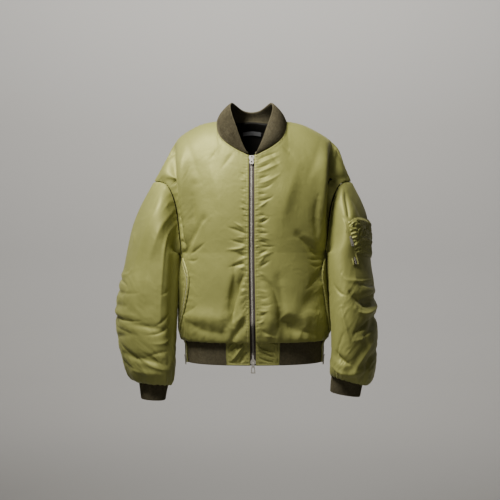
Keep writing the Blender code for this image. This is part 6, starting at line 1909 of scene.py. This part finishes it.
def lay_on(
    points, up, out, name, node, sewn_to, fore, fore_rise, rear_rise, tooth_pitch=0.0021, lip_at=0.0020
):
    """A zip that lies on the face of the cloth: its tape, two rows of teeth and a nylon lip down each side.
    fore is the sign of the front lip's side, and the rises are how high each lip stands along the zip."""
    offsets = np.linspace(-1, 1, 16) * SIDE_ZIP["tape_half"]
    rises = np.full(16, SEATING + 0.0010)
    cloth = Cloth(strip(points, up, out, offsets, rises), 1)
    smooth = cloth.points.copy()
    detail = 0.00008 * np.sin(2 * math.pi * cloth.t / 0.0020 + 0 * cloth.s)
    cloth.raise_by(detail)
    tape = thin_shell(f"{name}_tape", cloth, smooth, detail, tape_cloth, 0.0009)
    add_piece(tape, SLOTS["tape"], node)
    add_strip(tape, cloth, *sewn_to)
    template, faces = block(0.00120, 0.00055, 0.00055, 0.00028)
    rows = []
    for side in (1, -1):
        phase = 0.25 if side > 0 else 0.75
        origins, axes = along_line(points + out * (SEATING + 0.0017), out, tooth_pitch, phase)
        rows.append((origins + axes[:, 0] * side * 0.00075, axes))
    origins, axes = (np.concatenate(part) for part in zip(*rows))
    add_piece(stamp(f"{name}_teeth", template, faces, origins, axes, silver), SLOTS["metal"])
    for side, (label, rise) in ((-fore, ("rear", rear_rise)), (fore, ("fore", fore_rise))):
        width = np.linspace(lip_at, 0.0108, 16)
        dome = np.sqrt(np.clip(1 - np.linspace(-1, 1, 16) ** 2, 0, 1)) ** 0.8
        order = slice(None) if side > 0 else slice(None, None, -1)
        lip = Cloth(strip(points, up, out, side * width[order], SEATING + 0.0009 + 0 * dome), 1)
        lip.raise_by((dome[order])[:, None] * rise[None, :])
        level = lip.points.copy()
        ripple = seam_puckers(lip.s if side > 0 else lip.s_left, lip.t, 900 + side, 0.0125, 0.006, 0.0007)
        ripple += 0.0004 * crumple(lip.s / 0.012, lip.t / 0.016, 910 + side)
        lip.raise_by(ripple)
        made = thin_shell(f"{name}_lip_{label}", lip, level, ripple, nylon, 0.0007)
        add_piece(made, SLOTS["nylon"])
        add_strip(made, lip, *sewn_to, turned=0.0032)
        seam_at = lip.line("s1" if side > 0 else "s0", 0.0022, 0.0001)
        add_piece(topstitch(f"{name}_lip_{label}_stitches", [seam_at], thread), SLOTS["nylon"])


def side_zip(side, name):
    node = f"side_zip_{name}"
    t_at = np.linspace(0.07, 0.44, 60)
    front = front_outer(side, np.array([0.985, 0.9994]), t_at)
    back = back_outer(side * np.array([0.9994, 0.985]), t_at)
    seam = (front[-1] + back[0]) / 2
    if side > 0:
        seam = (front[-1] + back_outer(np.array([0.9994]), t_at)[0]) / 2
    keep = seam[:, 2] < SIDE_ZIP["top"]
    seam = seam[keep]
    rib = []
    for v in (1.0, 0.62, 0.32):
        sizes = section_sizes(HEM, v)
        ring = half_ring(sizes, side)
        knots = chord_knots(ring)
        at = np.interp(seam_place(sizes, side), ring[:, 1], knots)
        rib.append(at_share(ring, at) + (side * (RIB_RISE + 0.0002), 0, 0))
    line = smooth_line(np.vstack([rib, seam]), 241)
    up = unit(np.gradient(line, axis=0))
    across = unit(back_outer(np.array([side * 0.90]), t_at)[0] - front_outer(side, np.array([0.92]), t_at)[0])
    mean_across = np.stack([np.interp(line[:, 2], seam[:, 2], across[keep][:, k]) for k in range(3)], axis=1)
    out = unit(np.cross(mean_across, up) * side)
    out = unit(out - up * (out * up).sum(1)[:, None])
    above_rib = ease((line[:, 2] + 0.590) / 0.030)
    fore_rise, rear_rise = (0.0014 + more * above_rib for more in (0.0022, 0.0016))
    lay_on(line, up, out, node, node, (f"front_{name}", "back"), -side, fore_rise, rear_rise)


POCKET_SHARES = (-0.05, 0.20)


def pocket():
    """The gathered patch on the left sleeve, with its zip down the front edge and slots for pens below."""
    columns = np.arange(20) / 20
    rows = 0.0010 + (1 - 0.0013) * np.linspace(0, 1, 23)
    grid = sleeve_outer(LEFT, columns, rows)
    height = grid[[19, 0, 1, 2, 3, 4], :, 2].mean(0)
    inside = rows[np.flatnonzero((height < -0.262) & (height > -0.430))]
    s_at = np.linspace(*POCKET_SHARES, 94)
    t_at = np.linspace(inside[0], inside[-1], 118)
    base = sleeve_outer(LEFT, s_at, t_at)
    base = base + normals(lambda s, t: sleeve_outer(LEFT, s, t), s_at, t_at, 1, low=-1) * (SEATING + 0.0020)
    cloth = Cloth(base, 1)
    smooth = cloth.points.copy()
    edge = cloth.edge()
    puff = ease(edge / 0.014)
    puff = puff * (0.60 + 0.40 * ease((cloth.t_left - 0.040) / 0.012))
    detail = 0.0034 * puff + 0.0046 * crumple(cloth.s / 0.019, cloth.t / 0.0125, 601) * puff
    detail += seam_puckers(cloth.s_left, cloth.t, 603, 0.0105, 0.030, 0.0026, 0.3)
    detail += seam_puckers(cloth.s, cloth.t, 607, 0.0120, 0.026, 0.0022, -0.2)
    detail += seam_puckers(cloth.t, cloth.s, 605, 0.0125, 0.016, 0.0016)
    slots_at = ease((cloth.t - (cloth.t[0, -1] - 0.046)) / 0.006) * puff
    detail += -0.0052 * slots_at * np.cos(math.pi * cloth.s / 0.0112) ** 8
    band = cloth.t - (cloth.t[0, -1] - 0.047)
    detail += 0.0012 * bell(band, 0.0035) - 0.0014 * bell(band + 0.006, 0.003)
    detail += stitch_groove(edge, 0.0028, 0.0006)
    cloth.raise_by(detail)
    made = cloth_shell("sleeve_pocket_nylon", cloth, smooth, detail, [nylon, nylon], rim=0.0014, wall=0.0016)
    add_piece(made, SLOTS["nylon"], "sleeve_pocket")
    lines = [cloth.line(edge_name, 0.0028, 0.0001) for edge_name in ("s0", "s1", "t0", "t1")]
    lines.append(cloth.line("t1", 0.0460, 0.0001))
    lines = [(points[3:-3], normal[3:-3]) for points, normal in lines]
    add_piece(topstitch("sleeve_pocket_stitches", lines, thread), SLOTS["nylon"])
    circumference = np.linalg.norm(grid[5] - grid[4], axis=1)[8:14].mean() * 20
    share = POCKET_SHARES[1] + (SIDE_ZIP["tape_half"] + 0.0008) / circumference
    t_line = np.linspace(inside[0], inside[-1], 160)
    line = sleeve_outer(LEFT, np.array([share]), t_line)[0]
    out = normals(lambda s, t: sleeve_outer(LEFT, s, t), np.array([share]), t_line, 1, low=-1)[0]
    line, out = line[::-1], out[::-1]
    up = unit(np.gradient(line, axis=0))
    out = unit(out - up * (out * up).sum(1)[:, None])
    level = np.full(len(line), 0.0014)
    lay_on(line, up, out, "pocket_zip", "pocket_zip", ("sleeve_left",), -1, level, level, 0.0019, 0.0050)
    return made


def hardware():
    """Sliders and pulls: the solids' own shapes with their edges rounded. Each pull moves with its own
    body."""
    pieces = {
        "zip_slider_top": BODY, "zip_slider_bottom": BODY, "side_zip_slider_left": BODY,
        "side_zip_slider_right": BODY, "pocket_zip_slider": BODY, "zip_pull_top": "top_pull",
        "zip_pull_bottom": "bottom_pull", "side_zip_pull_left": "left_side_pull",
        "side_zip_pull_right": "right_side_pull", "pocket_zip_pull": "pocket_pull",
    }
    for node, body in pieces.items():
        made = bpy.data.objects.new(f"{node}_cast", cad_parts[node].data.copy())
        bpy.context.scene.collection.objects.link(made)
        made.matrix_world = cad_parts[node].matrix_world
        made.data.materials.clear()
        made.data.materials.append(silver)
        made.data.polygons.foreach_set("material_index", np.zeros(len(made.data.polygons), np.int32))
        made.data.shade_smooth()
        made.data.set_sharp_from_angle(angle=math.radians(40))
        rounded = made.modifiers.new("rounded_edges", "BEVEL")
        rounded.width, rounded.segments, rounded.limit_method = 0.00032, 2, "ANGLE"
        rounded.angle_limit = math.radians(28)
        add_piece(made, SLOTS["metal"], node, body=body)


# ---------------------------------------------------------------- the jacket

for side, name in SIDES:
    front_panel(side, name)
    sleeve_panel(side, name)
    hem_tab(side, name)
    side_zip(side, name)
back_panel()
ribs = rib_pieces()
neck_facing()
neck_binding()
neck_label()
pocket()
main_zip()
hardware()

# ---------------------------------------------------------------- stage, light and camera


def stage_floor():
    """A pale floor that curves up far round the jacket."""
    angles = np.arange(96) / 96 * 2 * math.pi
    profile = [(0.0, -1.5), (2.5, -1.5), (4.2, -1.5), (5.0, -1.4)]
    profile += [(5.6, -1.0), (6.0, -0.4), (6.2, 0.8), (6.2, 4.5)]
    points = np.array([[r * math.cos(a), r * math.sin(a), z] for a in angles for r, z in profile[1:]])
    points = np.vstack([points, [[0, 0, -1.5]]])
    rows = len(profile) - 1
    faces = quads(96, rows, 0, True, False)
    faces += [[96 * rows, i * rows, ((i + 1) % 96) * rows] for i in range(96)]
    wall = new_material("backdrop", (0.43, 0.42, 0.40), 0.9)[0]
    return build("backdrop", points, faces, [wall])


def lamp(name, location, target, size, power, spread=180, colour=(1, 1, 1)):
    light = bpy.data.lights.new(name, "AREA")
    light.shape, light.size, light.size_y = "RECTANGLE", size[0], size[1]
    light.energy, light.color, light.spread = power, colour, math.radians(spread)
    made = bpy.data.objects.new(name, light)
    made.location = location
    made.rotation_euler = (Vector(target) - Vector(location)).to_track_quat("-Z", "Y").to_euler()
    made.visible_camera = False
    bpy.context.scene.collection.objects.link(made)
    return made


world = bpy.data.worlds.new("studio")
world.use_nodes = True
world.node_tree.nodes["Background"].inputs["Color"].default_value = (1, 1, 1, 1)
world.node_tree.nodes["Background"].inputs["Strength"].default_value = 0.03
bpy.context.scene.world = world
stage = [
    stage_floor(),
    lamp("key", (-0.66, -0.76, 1.08), (0.02, -0.05, -0.25), (0.7, 0.7), 19.5, 95, (1.0, 0.985, 0.94)),
    lamp("fill", (-0.2, -3.1, -0.7), (0.0, 0.0, -0.35), (1.6, 1.6), 1.4, 60, (1.0, 0.99, 0.96)),
    lamp("wall_wash", (0.0, 2.4, 3.2), (0.0, 6.2, 1.5), (3.4, 0.8), 300, colour=(1.0, 0.985, 0.965)),
]

camera = bpy.data.cameras.new("photo_camera")
camera.sensor_width = 36.0
camera.lens = 65.68
camera_object = bpy.data.objects.new("photo_camera", camera)
camera_object.location = (-0.004275, -2.6, -0.348)
camera_object.rotation_euler = (math.pi / 2, 0, 0)
bpy.context.scene.collection.objects.link(camera_object)
bpy.context.scene.camera = camera_object
